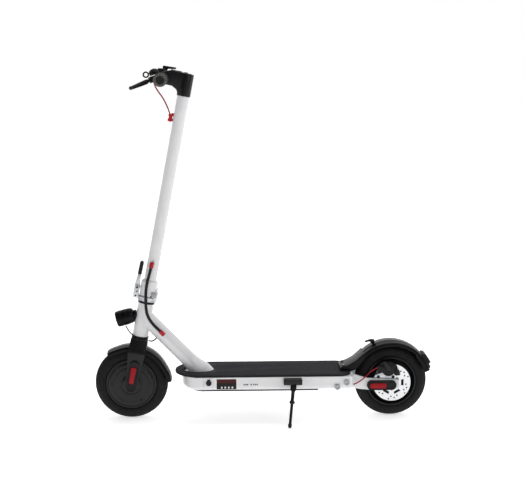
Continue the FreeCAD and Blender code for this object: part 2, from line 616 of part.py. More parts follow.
def fold_base():
    plate = lathe([(0, 270), (30, 270), (30, 283.5), (0, 283.5)], STEER)
    cheek = [(13, 276), (31, 276), (31, 295), (26, 300), (17, 300), (13, 296)]
    cheeks = [slab(cheek, low, high, STEER, ((4, (2, 3, 4)),)) for low, high in ((15, 21), (-21, -15))]
    horn = [(-45, 274), (-22, 274), (-22, 283), (-29, 284), (-29, 312), (-34, 316), (-42, 316), (-45, 308)]
    horns = [slab(horn, low, high, STEER, ((4, (4, 5, 6)),)) for low, high in ((7.4, 11.5), (-11.5, -7.4))]
    hinge = pin("hinge_pin_radius", 30, steer(size("hinge_back"), 0, size("hinge_rise")))
    pivot = pin("lever_pin_radius", 30, steer(size("lever_back"), 0, size("lever_rise")))
    node("fold_base", cut(fuse(plate, *cheeks, *horns), hinge, pivot))
    caps = [pin("hinge_pin_radius + 3", 1.5, steer(size("hinge_back"), side * 22.6, size("hinge_rise")))
            for side in (-1, 1)]
    shaft = pin("hinge_pin_radius", 21.5, steer(size("hinge_back"), 0, size("hinge_rise")))
    node("fork_hardware", fuse(shaft, *caps))
    node("fork_hardware", pin("lever_pin_radius", 12.5, steer(size("lever_back"), 0, size("lever_rise"))))
    blade = [(-27, 305.5), (-27, 310.5), (-30, 318), (-31, 330), (-31, 352), (-40, 352), (-43, 330), (-45, 316),
             (-44, 303), (-38, 298.8), (-31.6, 299.6)]
    bore = pin("lever_pin_radius + fit_gap", 30, steer(size("lever_back"), 0, size("lever_rise")))
    node("fold_lever", cut(slab(blade, -7, 7, STEER), bore))
    grip = [(-30, 352.1), (-29, 386), (-32, 391), (-38, 391), (-41, 386), (-42, 352.1)]
    node("lever_grip", slab(grip, -9, 9, STEER, ((3, (1, 2, 3, 4)),)))


def stem():
    radius = "stem_radius"
    sleeve = lathe([(0, 284), (24, 284), (26, 287), (26, 330), (22.5, 336), (radius, 336), (radius, 296), (0, 296)],
                   STEER)
    notch = brick((13, -40, 280), (40, 40, 304), STEER)
    side_slots = [brick((9, low, 280), (40, high, 305), STEER) for low, high in ((14.5, 40), (-40, -14.5))]
    lug = fuse(pin(8, 14.4, steer(21, 0, 292)), brick((8, -14.4, 284), (21, 14.4, 292), STEER),
               brick((8, -14.4, 292), (29, 14.4, 312), STEER))
    bore = pin("hinge_pin_radius + fit_gap", 30, steer(21, 0, 292))
    socket = rod(radius, 700, steer(0, 0, 296))
    node("stem_foot", cut(fuse(cut(sleeve, notch, *side_slots), lug), bore, socket))
    inner = f"{radius} - 2.5"
    node("stem_tube", lathe([(inner, 296), (radius, 296), (radius, "stem_top"), (inner, "stem_top")], STEER))
    arm = [(14, 950), (14, 988), (-48, 990), (-74, 981), (-86, 966), (-84, 952), (-72, 943.5), (-58, 943.5),
           (-36, 943), (-26, 938), (-19, 926), (-10, 926)]
    head = fuse(rod("stem_radius + 2", 70, steer(0, 0, 918)),
                slab(arm, -17.5, 17.5, STEER, ((6, (2, 3, 4, 5, 6)), (10, (8, 9)))))
    well = rod(5.8, 20, steer(-4, 0, 984.5))
    node("stem_head", cut(head, well, rod(radius, "stem_top - 917", steer(0, 0, 917)),
                          pin("bar_radius", 40, steer(size("bar_back"), 0, size("bar_rise")))))
    node("dash_display", slab([(-50, 990.1), (-16, 989.15), (-16, 990.5), (-50, 991.5)], -13, 13, STEER))
    node("power_button", rod(5.5, 4.5, steer(-4, 0, 986)))
    node("stem_grommets", clip())


def clip():
    block = brick((-37, -6, 822), (0, 6, 847), STEER)
    return cut(block, rod("stem_radius + 0.02", 60, steer(0, 0, 810)))


# ---- handlebar and controls ----

BAR = STEER * FreeCAD.Placement(V(size("bar_back"), 0, size("bar_rise")), FreeCAD.Rotation())
BAR_LEVEL = FreeCAD.Placement(BAR.Base, FreeCAD.Rotation())


def bar_tube(inner, outer, low, high):
    return lathe([(inner, low), (outer, low), (outer, high), (inner, high)], BAR_LEVEL, "XY_Plane")


def handlebar():
    node("handlebar", bar_tube("bar_radius - 2.2", "bar_radius", "-bar_half", "bar_half"))
    fit = "bar_radius + 0.02"
    for side in (-1, 1):
        outline = [(0, "grip_half"), (18, "grip_half"), (20.5, "grip_half - 2"), (20.5, "grip_half - 5"),
                   ("grip_radius", "grip_half - 8"), ("grip_radius", 104), (19.5, 102), (19.5, 98), (fit, 98),
                   (fit, "bar_half + 0.3"), (0, "bar_half + 0.3")]
        outline = [(r, f"{side} * ({y})") for r, y in outline]
        node("grips", lathe(outline, BAR_LEVEL, "XY_Plane"))


def throttle():
    fit = "bar_radius + 0.02"
    housing = fuse(bar_tube(fit, 18, 56, 65.7), bar_tube(fit, 18, 76.3, 92),
                   bar_tube(fit, "bar_radius + 2.2", 56, 92),
                   brick((-26, 40, -2), (-12, 65.7, 26), BAR_LEVEL), brick((-20, 40, 10), (4, 65.7, 30), BAR_LEVEL))
    post = pin("bar_radius", 100, BAR_LEVEL)
    node("throttle_housing", cut(housing, post))
    ring = bar_tube("bar_radius + 2.2 + fit_gap", 18.5, 66, 76)
    wing = slab([(-4, 14), (6, 14), (10, 27), (35, 26), (36, 31), (-6, 38)], 66, 76, BAR_LEVEL, ((2, (3, 4)),))
    tip = slab([(8, 29), (35, 26), (36, 31), (6, 35.5)], 76, 96, BAR_LEVEL, ((2, (1, 2)),))
    gap = pin("bar_radius + 2.2 + fit_gap", 100, BAR_LEVEL)
    node("throttle_paddle", cut(fuse(ring, wing, tip), gap))


LEVER_TILT = 22
LEVER = FreeCAD.Placement(
    BAR.Base + V(-31, -84, -2),
    FreeCAD.Rotation(V(-math.cos(math.radians(LEVER_TILT)), 0, -math.sin(math.radians(LEVER_TILT))),
                     V(0, -1, 0),
                     V(-math.sin(math.radians(LEVER_TILT)), 0, math.cos(math.radians(LEVER_TILT))), "XYZ"))


def brake_lever():
    fit = "bar_radius + 0.02"
    clamp = bar_tube(fit, 17, -94, -74)
    forks = [slab([(-20, -10), (8, -10), (9, 4), (2, 9), (-20, 9)], low, high, LEVER, ((4, (1, 2, 3)),), "XY_Plane")
             for low, high in ((5.3, 9), (-9, -5.3))]
    back = brick((-22, -10, -9), (-12, 9, 9), LEVER)
    adjuster = rod(5, 24, LEVER * FreeCAD.Placement(V(-4, -8, 0), FreeCAD.Rotation(X_AXIS, 90)))
    web = brick((-8, -14, -9), (6, -9.3, 9), LEVER)
    post = pin("bar_radius + 0.02", 150, BAR_LEVEL)
    bore = rod(2.5, 40, LEVER * FreeCAD.Placement(V(0, 0, -20), FreeCAD.Rotation()))
    node("lever_mount", cut(fuse(clamp, *forks, back, adjuster, web), post, bore))
    node("lever_mount", rod(2.5, 18, LEVER * FreeCAD.Placement(V(0, 0, -9), FreeCAD.Rotation())))
    blade = [(-6, -5), (6, -5), (18, 6), (36, 28), (49, 58), (57, 92), (62, 118), (53, 118), (47, 92), (39, 62),
             (27, 38), (12, 18), (-2, 7), (-6, 3)]
    lever = slab(blade, -5, 5, LEVER, ((4, (6, 7)),), "XY_Plane")
    ball = primitive("Sphere", LEVER * FreeCAD.Placement(V(57.5, 118, 0), FreeCAD.Rotation()), Radius=7)
    trimmed = rod("2.5 + fit_gap", 40, LEVER * FreeCAD.Placement(V(0, 0, -20), FreeCAD.Rotation()))
    node("brake_lever", cut(fuse(lever, ball), trimmed))


def bell():
    fit = "bar_radius + 0.02"
    clamp = bar_tube(fit, 16, -60, -46)
    seat = FreeCAD.Placement(BAR.Base + V(-24, -53, 12), FreeCAD.Rotation(Y_AXIS, -20))
    dome = lathe([(0, 0), (14, 0), (15, 3), (15, 9), (11, 15), (5, 17.5), (0, 18)], seat)
    bridge = brick((-22, -58, 4), (-8, -48, 14), BAR_LEVEL)
    post = pin("bar_radius + 0.02", 150, BAR_LEVEL)
    swing = seat * FreeCAD.Placement(V(-16.5, 0, 6), FreeCAD.Rotation())
    ears = [brick((-1.5, low, -1.5), (4, high, 1.5), swing) for low, high in ((-5.2, -3.2), (3.2, 5.2))]
    node("bell_body", cut(fuse(clamp, dome, bridge, *ears, pin(1, 5.2, swing)), post))
    ring = swing * FreeCAD.Placement(V(-8.2, 0, 2.5), FreeCAD.Rotation())
    node("bell_lever", cut(pin(9.5, 3, ring), pin(6.3, 5, ring), pin(1.05, 5, swing)))
    print("bell lever pivot", [round(c / 1000, 5) for c in swing.Base])


UPPER_END, LOWER_END = (69.8, -24, 496), (99, -29.6, 281)


def cables():
    """Held at both ends. The main lead and the motor lead are cut where they cross a joint."""
    cable("front_brake_cable", [(86, -49, 1060), (90, -41, 1036), (103, -27, 1010), (116, -12, 982),
                                (129.7, 0, 955.4)], 2)
    cable("main_lead_upper", [UPPER_END, (63.5, -30, 471), (55, -38, 443), (51, -43, 414), (51, -43, 384)], 4.5)
    cable("main_lead_lower", [(51, -43, 383.9), (51, -43, 353), (61.5, -41, 326), (79, -36, 302), LOWER_END], 4.5)
    cable("motor_lead", [(54.6, 0, 249.5), (62, 0, 247.3), (70.4, 0, 248), (79.2, 0, 256.3)], 2.2)
    cable("headlight_wire", [(-16, 0, 297.3), (-9, -5, 287), (-1, -12, 277), (9, -19, 270.5)], 1.8)
    cable("rear_brake_cable", [(698, -79, 122), (716, -78, 129), (738, -73, 146), (758, -64, 163),
                               (778, -56, 170)], 2)


def nozzle(label, end, after, tube_room):
    """A rubber sleeve over a lead's last 10 mm, trimmed to the tube that the lead goes into."""
    end, after = V(*end), V(*after)
    along = (after - end).normalize()
    inside = end - along * 10
    sleeve = rod(6.5, 20, spot(*inside, FreeCAD.Rotation(Z_AXIS, along)))
    node(label, cut(sleeve, tube_room, rod(4.6, 60, spot(*end, FreeCAD.Rotation(Z_AXIS, along)))))


def grommets():
    nozzle("stem_grommets", UPPER_END, (63.5, -30, 471), rod("stem_radius + 0.02", 300, steer(0, 0, 300)))
    down = FreeCAD.Placement(DOWN_TOP, FreeCAD.Rotation(Z_AXIS, DOWN_FOOT - DOWN_TOP))
    nozzle("lower_grommet", LOWER_END, (79, -36, 302), rod("down_tube_radius + 0.02", 300, down))


def build():
    hub = front_wheel()
    motor_core(hub)
    axle = rear_wheel()
    rear_axle(axle)
    fork(hub)
    front_fender_screws()
    headset()
    headlight()
    frame_tubes()
    deck()
    electrics()
    side_fittings()
    rear_arms()
    rear_fender(axle)
    caliper()
    kickstand()
    fold_base()
    stem()
    handlebar()
    throttle()
    brake_lever()
    bell()
    cables()
    grommets()
    for label, members in nodes.items():
        whole = members[0] if len(members) == 1 else group(members)
        whole.Label = label
        nodes[label] = whole
    doc.recompute()


def check_and_write():
    for made in doc.Objects:
        assert not {"Invalid", "Error"} & set(made.State), (made.Name, made.Label, made.State)
    os.makedirs("parts", exist_ok=True)
    for label, made in nodes.items():
        shape = made.Shape
        assert not shape.isNull() and shape.isValid() and shape.Volume > 0, label
        shape.exportStep(f"parts/{label}.step")
    print(len(nodes), "nodes written")


build()
check_and_write()
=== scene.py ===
import json
import math

import bpy
from bpy.props import FloatProperty, FloatVectorProperty, PointerProperty
from mathutils import Matrix, Vector


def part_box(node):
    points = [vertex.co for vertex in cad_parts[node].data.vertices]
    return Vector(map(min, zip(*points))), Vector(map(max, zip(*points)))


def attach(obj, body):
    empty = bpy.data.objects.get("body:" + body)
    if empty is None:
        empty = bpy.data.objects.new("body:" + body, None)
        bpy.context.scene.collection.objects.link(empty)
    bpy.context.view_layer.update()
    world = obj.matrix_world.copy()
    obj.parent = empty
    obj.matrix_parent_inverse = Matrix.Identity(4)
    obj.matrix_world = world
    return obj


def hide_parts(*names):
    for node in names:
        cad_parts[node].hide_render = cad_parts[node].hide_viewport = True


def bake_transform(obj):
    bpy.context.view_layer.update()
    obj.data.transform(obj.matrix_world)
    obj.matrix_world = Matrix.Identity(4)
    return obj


bl_info = {
    "name": "Electric Kick Scooter",
    "version": (1, 0, 0),
    "blender": (4, 5, 0),
    "location": "View3D > Sidebar > Scooter",
    "description": "Dresses the scooter's frame with its tyres, covers, controls, leads and finishes",
    "category": "Object",
}

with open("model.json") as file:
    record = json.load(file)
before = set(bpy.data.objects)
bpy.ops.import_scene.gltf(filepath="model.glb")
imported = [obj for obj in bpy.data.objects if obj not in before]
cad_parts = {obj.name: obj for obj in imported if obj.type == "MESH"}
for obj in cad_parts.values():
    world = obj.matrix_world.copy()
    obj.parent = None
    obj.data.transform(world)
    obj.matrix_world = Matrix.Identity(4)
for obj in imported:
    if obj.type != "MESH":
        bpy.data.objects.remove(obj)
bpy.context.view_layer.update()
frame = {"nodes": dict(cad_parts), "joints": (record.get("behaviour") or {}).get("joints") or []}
JOINTS = {joint["name"]: joint for joint in frame["joints"]}
MM = 0.001


def joint_spot(name):
    return Vector(JOINTS[name]["pos_m"])


FRONT_AXLE = joint_spot("front_wheel_spin")
REAR_AXLE = joint_spot("rear_wheel_spin")
COLUMN = Vector(JOINTS["steering"]["axis"]).normalized()
TILT = math.atan2(COLUMN.x, COLUMN.z)
STEER = Matrix.Translation(FRONT_AXLE) @ Matrix.Rotation(TILT, 4, "Y")
BAR = (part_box("handlebar")[0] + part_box("handlebar")[1]) / 2
GROUND = 0.0
MERGE = 1e-5
BAR_RADIUS = 11.05
BAR_ROOM = 11.1
VALVE_LENGTH = 9
STUD_PITCH = 7.4
DECK_HALF, DECK_BASE, DECK_EDGE, DECK_REAR = 87.2, 107, 15, 697.5
CAMERA_ASIDE, CAMERA_LENS = 0.287, 77.94
CAMERA_PITCH, CAMERA_YAW = -9.76, -2.08
FLOOR_GLOW = 0.6
# Where the world turns from its dark side to its bright one, and how strong each side is.
WORLD_FROM, WORLD_TO, WORLD_DARK, WORLD_BRIGHT = -0.35, 0.45, 0.16, 1.0
AREA_LIGHTS = (  # name, place and size in metres, power in watts
    ("key", (1.9, -2.2, 2.4), 1.2, 15),
    ("fill", (-2.6, -1.6, 1.6), 0.7, 5),
    ("top", (0.3, 0.2, 3.2), 1.3, 20),
)


def spot(back, side, up):
    """A point given in millimetres: behind the front axle, across, and above the ground."""
    return Vector((FRONT_AXLE.x + back * MM, side * MM, up * MM))


def column(back, side, rise):
    """A point in millimetres in the steering column's frame, which starts at the front axle."""
    return STEER @ Vector((back * MM, side * MM, rise * MM))


# ---- colours and nodes ----

def linear(hex_colour):
    """An sRGB hex colour as the linear RGBA that shaders take."""
    channels = [int(hex_colour[i:i + 2], 16) / 255 for i in (1, 3, 5)]
    return tuple(c / 12.92 if c <= 0.04045 else ((c + 0.055) / 1.055) ** 2.4 for c in channels) + (1.0,)


class Sheet:
    """A material's node tree, with the one call that adds a node, sets it and links it."""

    def __init__(self, name):
        self.material = bpy.data.materials.new(name)
        self.material.use_nodes = True
        self.tree = self.material.node_tree
        self.shader = self.tree.nodes["Principled BSDF"]

    def add(self, kind, settings=None, **inputs):
        node = self.tree.nodes.new("ShaderNode" + kind)
        for key, value in (settings or {}).items():
            setattr(node, key, value)
        self.feed(node, **inputs)
        return node

    def feed(self, node, **inputs):
        for key, value in inputs.items():
            socket = node.inputs[int(key[1:])] if key[1:].isdigit() else node.inputs[key.replace("_", " ")]
            if isinstance(value, bpy.types.NodeSocket):
                self.tree.links.new(value, socket)
            else:
                socket.default_value = value

    def place(self, at=(0, 0, 0)):
        coordinates = self.add("TexCoord")
        return self.add("Mapping", None, Vector=coordinates.outputs["Object"], Location=at).outputs[0]

    def ramp(self, value, stops):
        node = self.add("ValToRGB", None, Fac=value)
        while len(node.color_ramp.elements) < len(stops):
            node.color_ramp.elements.new(0.5)
        for element, (position, colour) in zip(node.color_ramp.elements, stops):
            element.position = position
            element.color = linear(colour) if isinstance(colour, str) else (colour,) * 3 + (1,)
        return node.outputs[0]

    def bump(self, height, strength, distance):
        return self.add("Bump", None, Height=height, Strength=strength, Distance=distance).outputs[0]

    def finish(self, **inputs):
        self.feed(self.shader, **inputs)
        return self.material


def grain(sheet, size_mm, detail=3.0):
    """Fractal noise whose coarsest lumps are size_mm across."""
    return sheet.add("TexNoise", None, Vector=sheet.place(), Scale=1 / (size_mm * MM),
                     Detail=detail).outputs["Fac"]


def gloss_white_enamel():
    """Sprayed and baked white enamel on welded aluminium: a clear gloss with faint orange peel."""
    sheet = Sheet("gloss_white_enamel")
    peel = grain(sheet, 2.2, 1.0)
    tone = sheet.ramp(grain(sheet, 60, 2.0), ((0.35, "#DFDFE1"), (0.7, "#E6E6E7")))
    return sheet.finish(Base_Color=tone, Roughness=0.3, IOR=1.5, Coat_Weight=0.5, Coat_Roughness=0.08,
                        Normal=sheet.bump(peel, 0.06, 0.0003))


def satin_black_enamel():
    """Electrophoretic black on the fork, bar and levers: even, half gloss, slightly rubbed."""
    sheet = Sheet("satin_black_enamel")
    cloud = grain(sheet, 25, 4.0)
    rough = sheet.ramp(cloud, ((0.3, 0.3), (0.7, 0.42)))
    return sheet.finish(Base_Color=sheet.ramp(cloud, ((0.3, "#0E0E10"), (0.75, "#151517"))), Roughness=rough,
                        Specular_IOR_Level=0.25, Coat_Weight=0.08, Coat_Roughness=0.2,
                        Normal=sheet.bump(grain(sheet, 1.6, 1.0), 0.08, 0.0002))


def moulded_black_plastic():
    """Injection-moulded ABS and polypropylene with a spark-eroded grain that dulls the shine."""
    sheet = Sheet("moulded_black_plastic")
    pits = sheet.add("TexVoronoi", {"feature": "SMOOTH_F1"}, Vector=sheet.place(), Scale=1 / (1.1 * MM))
    rough = sheet.ramp(grain(sheet, 30, 3.0), ((0.3, 0.46), (0.7, 0.58)))
    tone = sheet.ramp(grain(sheet, 18, 2.0), ((0.3, "#121214"), (0.7, "#19191B")))
    return sheet.finish(Base_Color=tone, Roughness=rough, IOR=1.49, Specular_IOR_Level=0.25,
                        Normal=sheet.bump(pits.outputs["Distance"], 0.22, 0.0003))


def gloss_black_plastic():
    """Smooth-moulded polypropylene of the mudguards and the lamp: black with a broad soft shine."""
    sheet = Sheet("gloss_black_plastic")
    rough = sheet.ramp(grain(sheet, 40, 3.0), ((0.3, 0.22), (0.7, 0.3)))
    return sheet.finish(Base_Color=sheet.ramp(grain(sheet, 18, 2.0), ((0.3, "#0E0E10"), (0.7, "#141416"))),
                        Roughness=rough, IOR=1.49, Specular_IOR_Level=0.12,
                        Normal=sheet.bump(grain(sheet, 3, 1.0), 0.05, 0.0003))


def painted_sheen_rubber():
    """The grips' end rings: the grips' black rubber painted grey, a painted sheen for the light that their
    flanges catch.
    """
    sheet = Sheet("painted_sheen_rubber")
    # painted sheen: this grey stands in for the light that the end rings' flanges catch
    return sheet.finish(Base_Color=sheet.ramp(grain(sheet, 6, 3.0), ((0.3, "#423F3C"), (0.7, "#57534F"))),
                        Roughness=0.62, IOR=1.5, Normal=sheet.bump(grain(sheet, 1.0, 2.0), 0.3, 0.0003))


def charcoal_silicone():
    """The deck mat's moulded silicone rubber: charcoal, matt, with dusty high spots."""
    sheet = Sheet("charcoal_silicone")
    speck = grain(sheet, 1.4, 2.0)
    tone = sheet.ramp(grain(sheet, 45, 4.0), ((0.3, "#1B1B1F"), (0.72, "#27272B")))
    mixed = sheet.add("Mix", {"data_type": "RGBA", "blend_type": "MULTIPLY"}, _0=0.35, _6=tone,
                      _7=sheet.ramp(speck, ((0.35, 0.55), (0.65, 1.0))))
    return sheet.finish(Base_Color=mixed.outputs[2], Roughness=0.72, IOR=1.41, Specular_IOR_Level=0.25,
                        Normal=sheet.bump(speck, 0.5, 0.0004))


def tyre_rubber():
    """Carbon-black tyre compound: nearly matt, a little grey bloom, with a fine moulded texture."""
    sheet = Sheet("tyre_rubber")
    bloom = sheet.ramp(grain(sheet, 14, 5.0), ((0.3, "#101011"), (0.75, "#1B1B1D")))
    return sheet.finish(Base_Color=bloom, Roughness=sheet.ramp(grain(sheet, 6, 3.0),
                                                               ((0.3, 0.62), (0.7, 0.8))), IOR=1.52,
                        Specular_IOR_Level=0.2, Normal=sheet.bump(grain(sheet, 0.9, 2.0), 0.3, 0.0003))


def grip_rubber():
    """Soft overmoulded rubber on the grips, the fold lever and the leads' sheaths."""
    sheet = Sheet("grip_rubber")
    return sheet.finish(Base_Color=sheet.ramp(grain(sheet, 8, 3.0), ((0.3, "#151516"), (0.7, "#232325"))),
                        Roughness=0.6, IOR=1.5, Specular_IOR_Level=0.25,
                        Normal=sheet.bump(grain(sheet, 0.8, 1.0), 0.25, 0.0002))


def cast_aluminium():
    """Die-cast and bead-blasted aluminium: pale, satin, with the sandy skin of the mould."""
    sheet = Sheet("cast_aluminium")
    return sheet.finish(Base_Color=sheet.ramp(grain(sheet, 10, 3.0), ((0.3, "#B9BBBE"), (0.7, "#D4D5D7"))),
                        Metallic=1.0, Roughness=sheet.ramp(grain(sheet, 4, 2.0), ((0.3, 0.28), (0.7, 0.42))),
                        Normal=sheet.bump(grain(sheet, 1.2, 2.0), 0.15, 0.0003))


def zinc_steel():
    """Bright zinc-plated steel of screws, nuts, axles and bearings."""
    sheet = Sheet("zinc_steel")
    return sheet.finish(Base_Color=sheet.ramp(grain(sheet, 5, 3.0), ((0.3, "#85878A"), (0.7, "#A2A4A6"))),
                        Metallic=1.0, Roughness=sheet.ramp(grain(sheet, 3, 2.0), ((0.3, 0.25), (0.7, 0.38))),
                        Normal=sheet.bump(grain(sheet, 0.7, 1.0), 0.08, 0.0002))


def ground_stainless():
    """The brake rotor's ground stainless steel: rings of fine scratches about the axle."""
    sheet = Sheet("ground_stainless")
    around = sheet.add("SeparateXYZ", None, Vector=sheet.place(at=(-REAR_AXLE.x, 0, -REAR_AXLE.z)))
    x, z = around.outputs["X"], around.outputs["Z"]
    square = lambda v: sheet.add("Math", {"operation": "MULTIPLY"}, _0=v, _1=v).outputs[0]
    total = sheet.add("Math", {"operation": "ADD"}, _0=square(x), _1=square(z)).outputs[0]
    radius = sheet.add("Math", {"operation": "SQRT"}, _0=total).outputs[0]
    rings = sheet.add("TexNoise", {"noise_dimensions": "1D"}, W=radius, Scale=1 / (0.9 * MM),
                      Detail=2.0).outputs["Fac"]
    return sheet.finish(Base_Color=sheet.ramp(rings, ((0.3, "#BFC1C3"), (0.7, "#ECECED"))), Metallic=1.0,
                        Roughness=sheet.ramp(rings, ((0.3, 0.22), (0.7, 0.36))),
                        Normal=sheet.bump(rings, 0.15, 0.0003))


def red_reflector():
    """Prismatic acrylic reflectors: glossy red over a grid of tiny corner cubes."""
    sheet = Sheet("red_reflector")
    cells = sheet.add("TexVoronoi", {"feature": "F1"}, Vector=sheet.place(), Scale=1 / (2.6 * MM),
                      Randomness=0.15)
    tone = sheet.ramp(cells.outputs["Distance"], ((0.1, "#B8081A"), (0.75, "#7E0410")))
    return sheet.finish(Base_Color=tone, Roughness=0.3, IOR=1.49, Specular_IOR_Level=0.2,
                        Normal=sheet.bump(cells.outputs["Distance"], 0.35, 0.0006))


def red_silicone():
    """Red silicone of the lead nozzles and the cable clip."""
    sheet = Sheet("red_silicone")
    return sheet.finish(Base_Color=sheet.ramp(grain(sheet, 6, 2.0), ((0.3, "#A00B18"), (0.7, "#BC111F"))),
                        Roughness=0.42, IOR=1.41, Subsurface_Weight=0.05,
                        Normal=sheet.bump(grain(sheet, 0.7, 1.0), 0.12, 0.0002))


def wine_sheath():
    """The brake cables' extruded PVC sheath: a deep red with a soft shine."""
    sheet = Sheet("wine_sheath")
    return sheet.finish(Base_Color=sheet.ramp(grain(sheet, 5, 2.0), ((0.3, "#7E0A14"), (0.7, "#980D1A"))),
                        Roughness=0.45, IOR=1.53, Specular_IOR_Level=0.2,
                        Normal=sheet.bump(grain(sheet, 0.7, 1.0), 0.1, 0.0002))


def blackened_steel():
    """Black-oxide steel of the wheel cover's, the caliper's and the folding joint's screws."""
    sheet = Sheet("blackened_steel")
    return sheet.finish(Base_Color=sheet.ramp(grain(sheet, 4, 3.0), ((0.3, "#202023"), (0.7, "#34353A"))),
                        Metallic=1.0, Roughness=0.4, Normal=sheet.bump(grain(sheet, 0.7, 1.0), 0.1, 0.0002))


def lamp_glass():
    """The headlight's clear polycarbonate lens."""
    sheet = Sheet("lamp_glass")
    ripple = sheet.add("TexWave", {"wave_type": "RINGS"}, Vector=sheet.place(), Scale=1 / (8 * MM),
                       Distortion=0.5)
    return sheet.finish(Base_Color=linear("#F3F6F8"), Roughness=0.06, IOR=1.58, Transmission_Weight=0.85,
                        Normal=sheet.bump(ripple.outputs["Fac"], 0.1, 0.0004))


def display_acrylic():
    """Smoked acrylic over the display: nearly black and mirror smooth."""
    sheet = Sheet("display_acrylic")
    haze = sheet.ramp(grain(sheet, 20, 2.0), ((0.3, 0.05), (0.7, 0.09)))
    return sheet.finish(Base_Color=linear("#08080A"), Roughness=haze, IOR=1.49, Coat_Weight=1.0,
                        Coat_Roughness=0.02)


def copper_winding():
    """Enamelled copper and laminated steel of the motor's core, with the laminations' edges as fine lines."""
    sheet = Sheet("copper_winding")
    lines = sheet.add("TexWave", {"bands_direction": "Y"}, Vector=sheet.place(), Scale=1 / (6 * MM),
                      Distortion=0.3)
    return sheet.finish(Base_Color=sheet.ramp(lines.outputs["Fac"], ((0.2, "#6E4A34"), (0.8, "#8A8C90"))),
                        Metallic=0.8, Roughness=0.4, Normal=sheet.bump(lines.outputs["Fac"], 0.2, 0.0003))


def battery_wrap():
    """Heat-shrink sleeve on the cells and the solder mask on the boards."""
    sheet = Sheet("battery_wrap")
    return sheet.finish(Base_Color=sheet.ramp(grain(sheet, 30, 2.0), ((0.4, "#1F5E3A"), (0.6, "#2A6E8C"))),
                        Roughness=0.35, Coat_Weight=0.3, Normal=sheet.bump(grain(sheet, 2, 2.0), 0.1, 0.0003))


def lamp_phosphor():
    """The lamp chip's yellow phosphor under clear silicone."""
    sheet = Sheet("lamp_phosphor")
    return sheet.finish(Base_Color=sheet.ramp(grain(sheet, 1, 2.0), ((0.3, "#E8D44A"), (0.7, "#F4E67A"))),
                        Roughness=0.3, Emission_Color=linear("#FFF6D8"), Emission_Strength=0.4)


def seam_shadow():
    """The grey hairline where the deck's nose casting meets its extrusion."""
    sheet = Sheet("seam_shadow")
    return sheet.finish(Base_Color=sheet.ramp(grain(sheet, 6, 2.0), ((0.3, "#8E8F92"), (0.7, "#A6A7AA"))),
                        Roughness=0.6)


def printed_plate():
    """A screen-printed polycarbonate plate: black below, with a deep red band along its top."""
    sheet = Sheet("printed_plate")
    height = sheet.add("SeparateXYZ", None, Vector=sheet.place()).outputs["Z"]
    share = sheet.add("MapRange", None, Value=height, From_Min=0.1115, From_Max=0.1454)
    band = sheet.ramp(share.outputs[0], ((0.0, "#141415"), (0.62, "#1A1617"), (0.66, "#430F12"),
                                         (1.0, "#4C1215")))
    return sheet.finish(Base_Color=band, Roughness=0.4, Specular_IOR_Level=0.2,
                        Normal=sheet.bump(grain(sheet, 1.5, 2.0), 0.05, 0.0002))


def pale_print():
    """Opaque white ink."""
    sheet = Sheet("pale_print")
    return sheet.finish(Base_Color=sheet.ramp(grain(sheet, 2, 2.0), ((0.3, "#DADADA"), (0.7, "#EFEFEF"))),
                        Roughness=0.5)


NODE_FINISHES = {gloss_white_enamel: ("head_tube", "down_tube", "deck_shell", "rear_arms", "stem_foot",
                                      "stem_tube"), satin_black_enamel: ("fork", "handlebar", "brake_lever",
                                                                         "motor_shell", "motor_cover",
                                                                         "rear_rim", "kickstand",
                                                                         "kickstand_bracket", "stem_head",
                                                                         "caliper_arm", "headset_cups"),
                 moulded_black_plastic: ("fork_trim", "rear_covers", "bottom_cover", "throttle_housing",
                                         "throttle_paddle", "lever_mount", "bell_body", "bell_lever",
                                         "power_button", "caliper_body", "charge_cap"),
                 gloss_black_plastic: ("front_fender", "rear_fender", "headlight_body"),
                 charcoal_silicone: ("deck_mat",), tyre_rubber: ("front_tyre", "rear_tyre"),
                 grip_rubber: ("grips", "lever_grip", "main_lead_upper", "main_lead_lower", "motor_lead",
                               "headlight_wire"), cast_aluminium: ("fold_base", "fold_lever",
                                                                   "caliper_bracket"),
                 zinc_steel: ("frame_screws", "fork_hardware", "rear_hub_hardware", "rear_axle",
                              "motor_magnets"), ground_stainless: ("brake_rotor",),
                 red_reflector: ("rear_lenses", "fork_reflectors"), red_silicone: ("stem_grommets",
                                                                                   "lower_grommet"),
                 wine_sheath: ("front_brake_cable", "rear_brake_cable"), blackened_steel: ("motor_hardware",),
                 lamp_glass: ("headlight_lens",), display_acrylic: ("dash_display",),
                 copper_winding: ("motor_core",), battery_wrap: ("electronics",), }
FINISHES = {}


def finish_of(maker):
    if maker not in FINISHES:
        FINISHES[maker] = maker()
    return FINISHES[maker]


# ---- modelling helpers ----

def deselect():
    if bpy.context.object and bpy.context.object.mode != "OBJECT":
        bpy.ops.object.mode_set(mode="OBJECT")
    bpy.ops.object.select_all(action="DESELECT")


def only(piece):
    deselect()
    piece.select_set(True)
    bpy.context.view_layer.objects.active = piece


def started(name):
    """The primitive that was just added, under its own name."""
    piece = bpy.context.object
    piece.name = name
    piece.data.name = name
    return piece


def pick(piece, test, kind="VERT"):
    """Goes into edit mode with the vertices, edges or faces selected whose centre passes the test."""
    only(piece)
    bpy.ops.object.mode_set(mode="EDIT")
    bpy.ops.mesh.select_mode(type=kind)
    bpy.ops.mesh.select_all(action="DESELECT")
    bpy.ops.object.mode_set(mode="OBJECT")
    mesh = piece.data
    if kind == "FACE":
        for face in mesh.polygons:
            face.select = bool(test(face.center, face.normal))
    elif kind == "EDGE":
        for edge in mesh.edges:
            edge.select = bool(test(*[mesh.vertices[i].co for i in edge.vertices]))
    else:
        for vertex in mesh.vertices:
            vertex.select = bool(test(vertex.co))
    bpy.ops.object.mode_set(mode="EDIT")


def modify(piece, kind, **settings):
    """Adds a modifier and applies it."""
    only(piece)
    modifier = piece.modifiers.new(kind.title(), kind)
    for key, value in settings.items():
        setattr(modifier, key, value)
    bpy.ops.object.modifier_apply(modifier=modifier.name)
    return piece


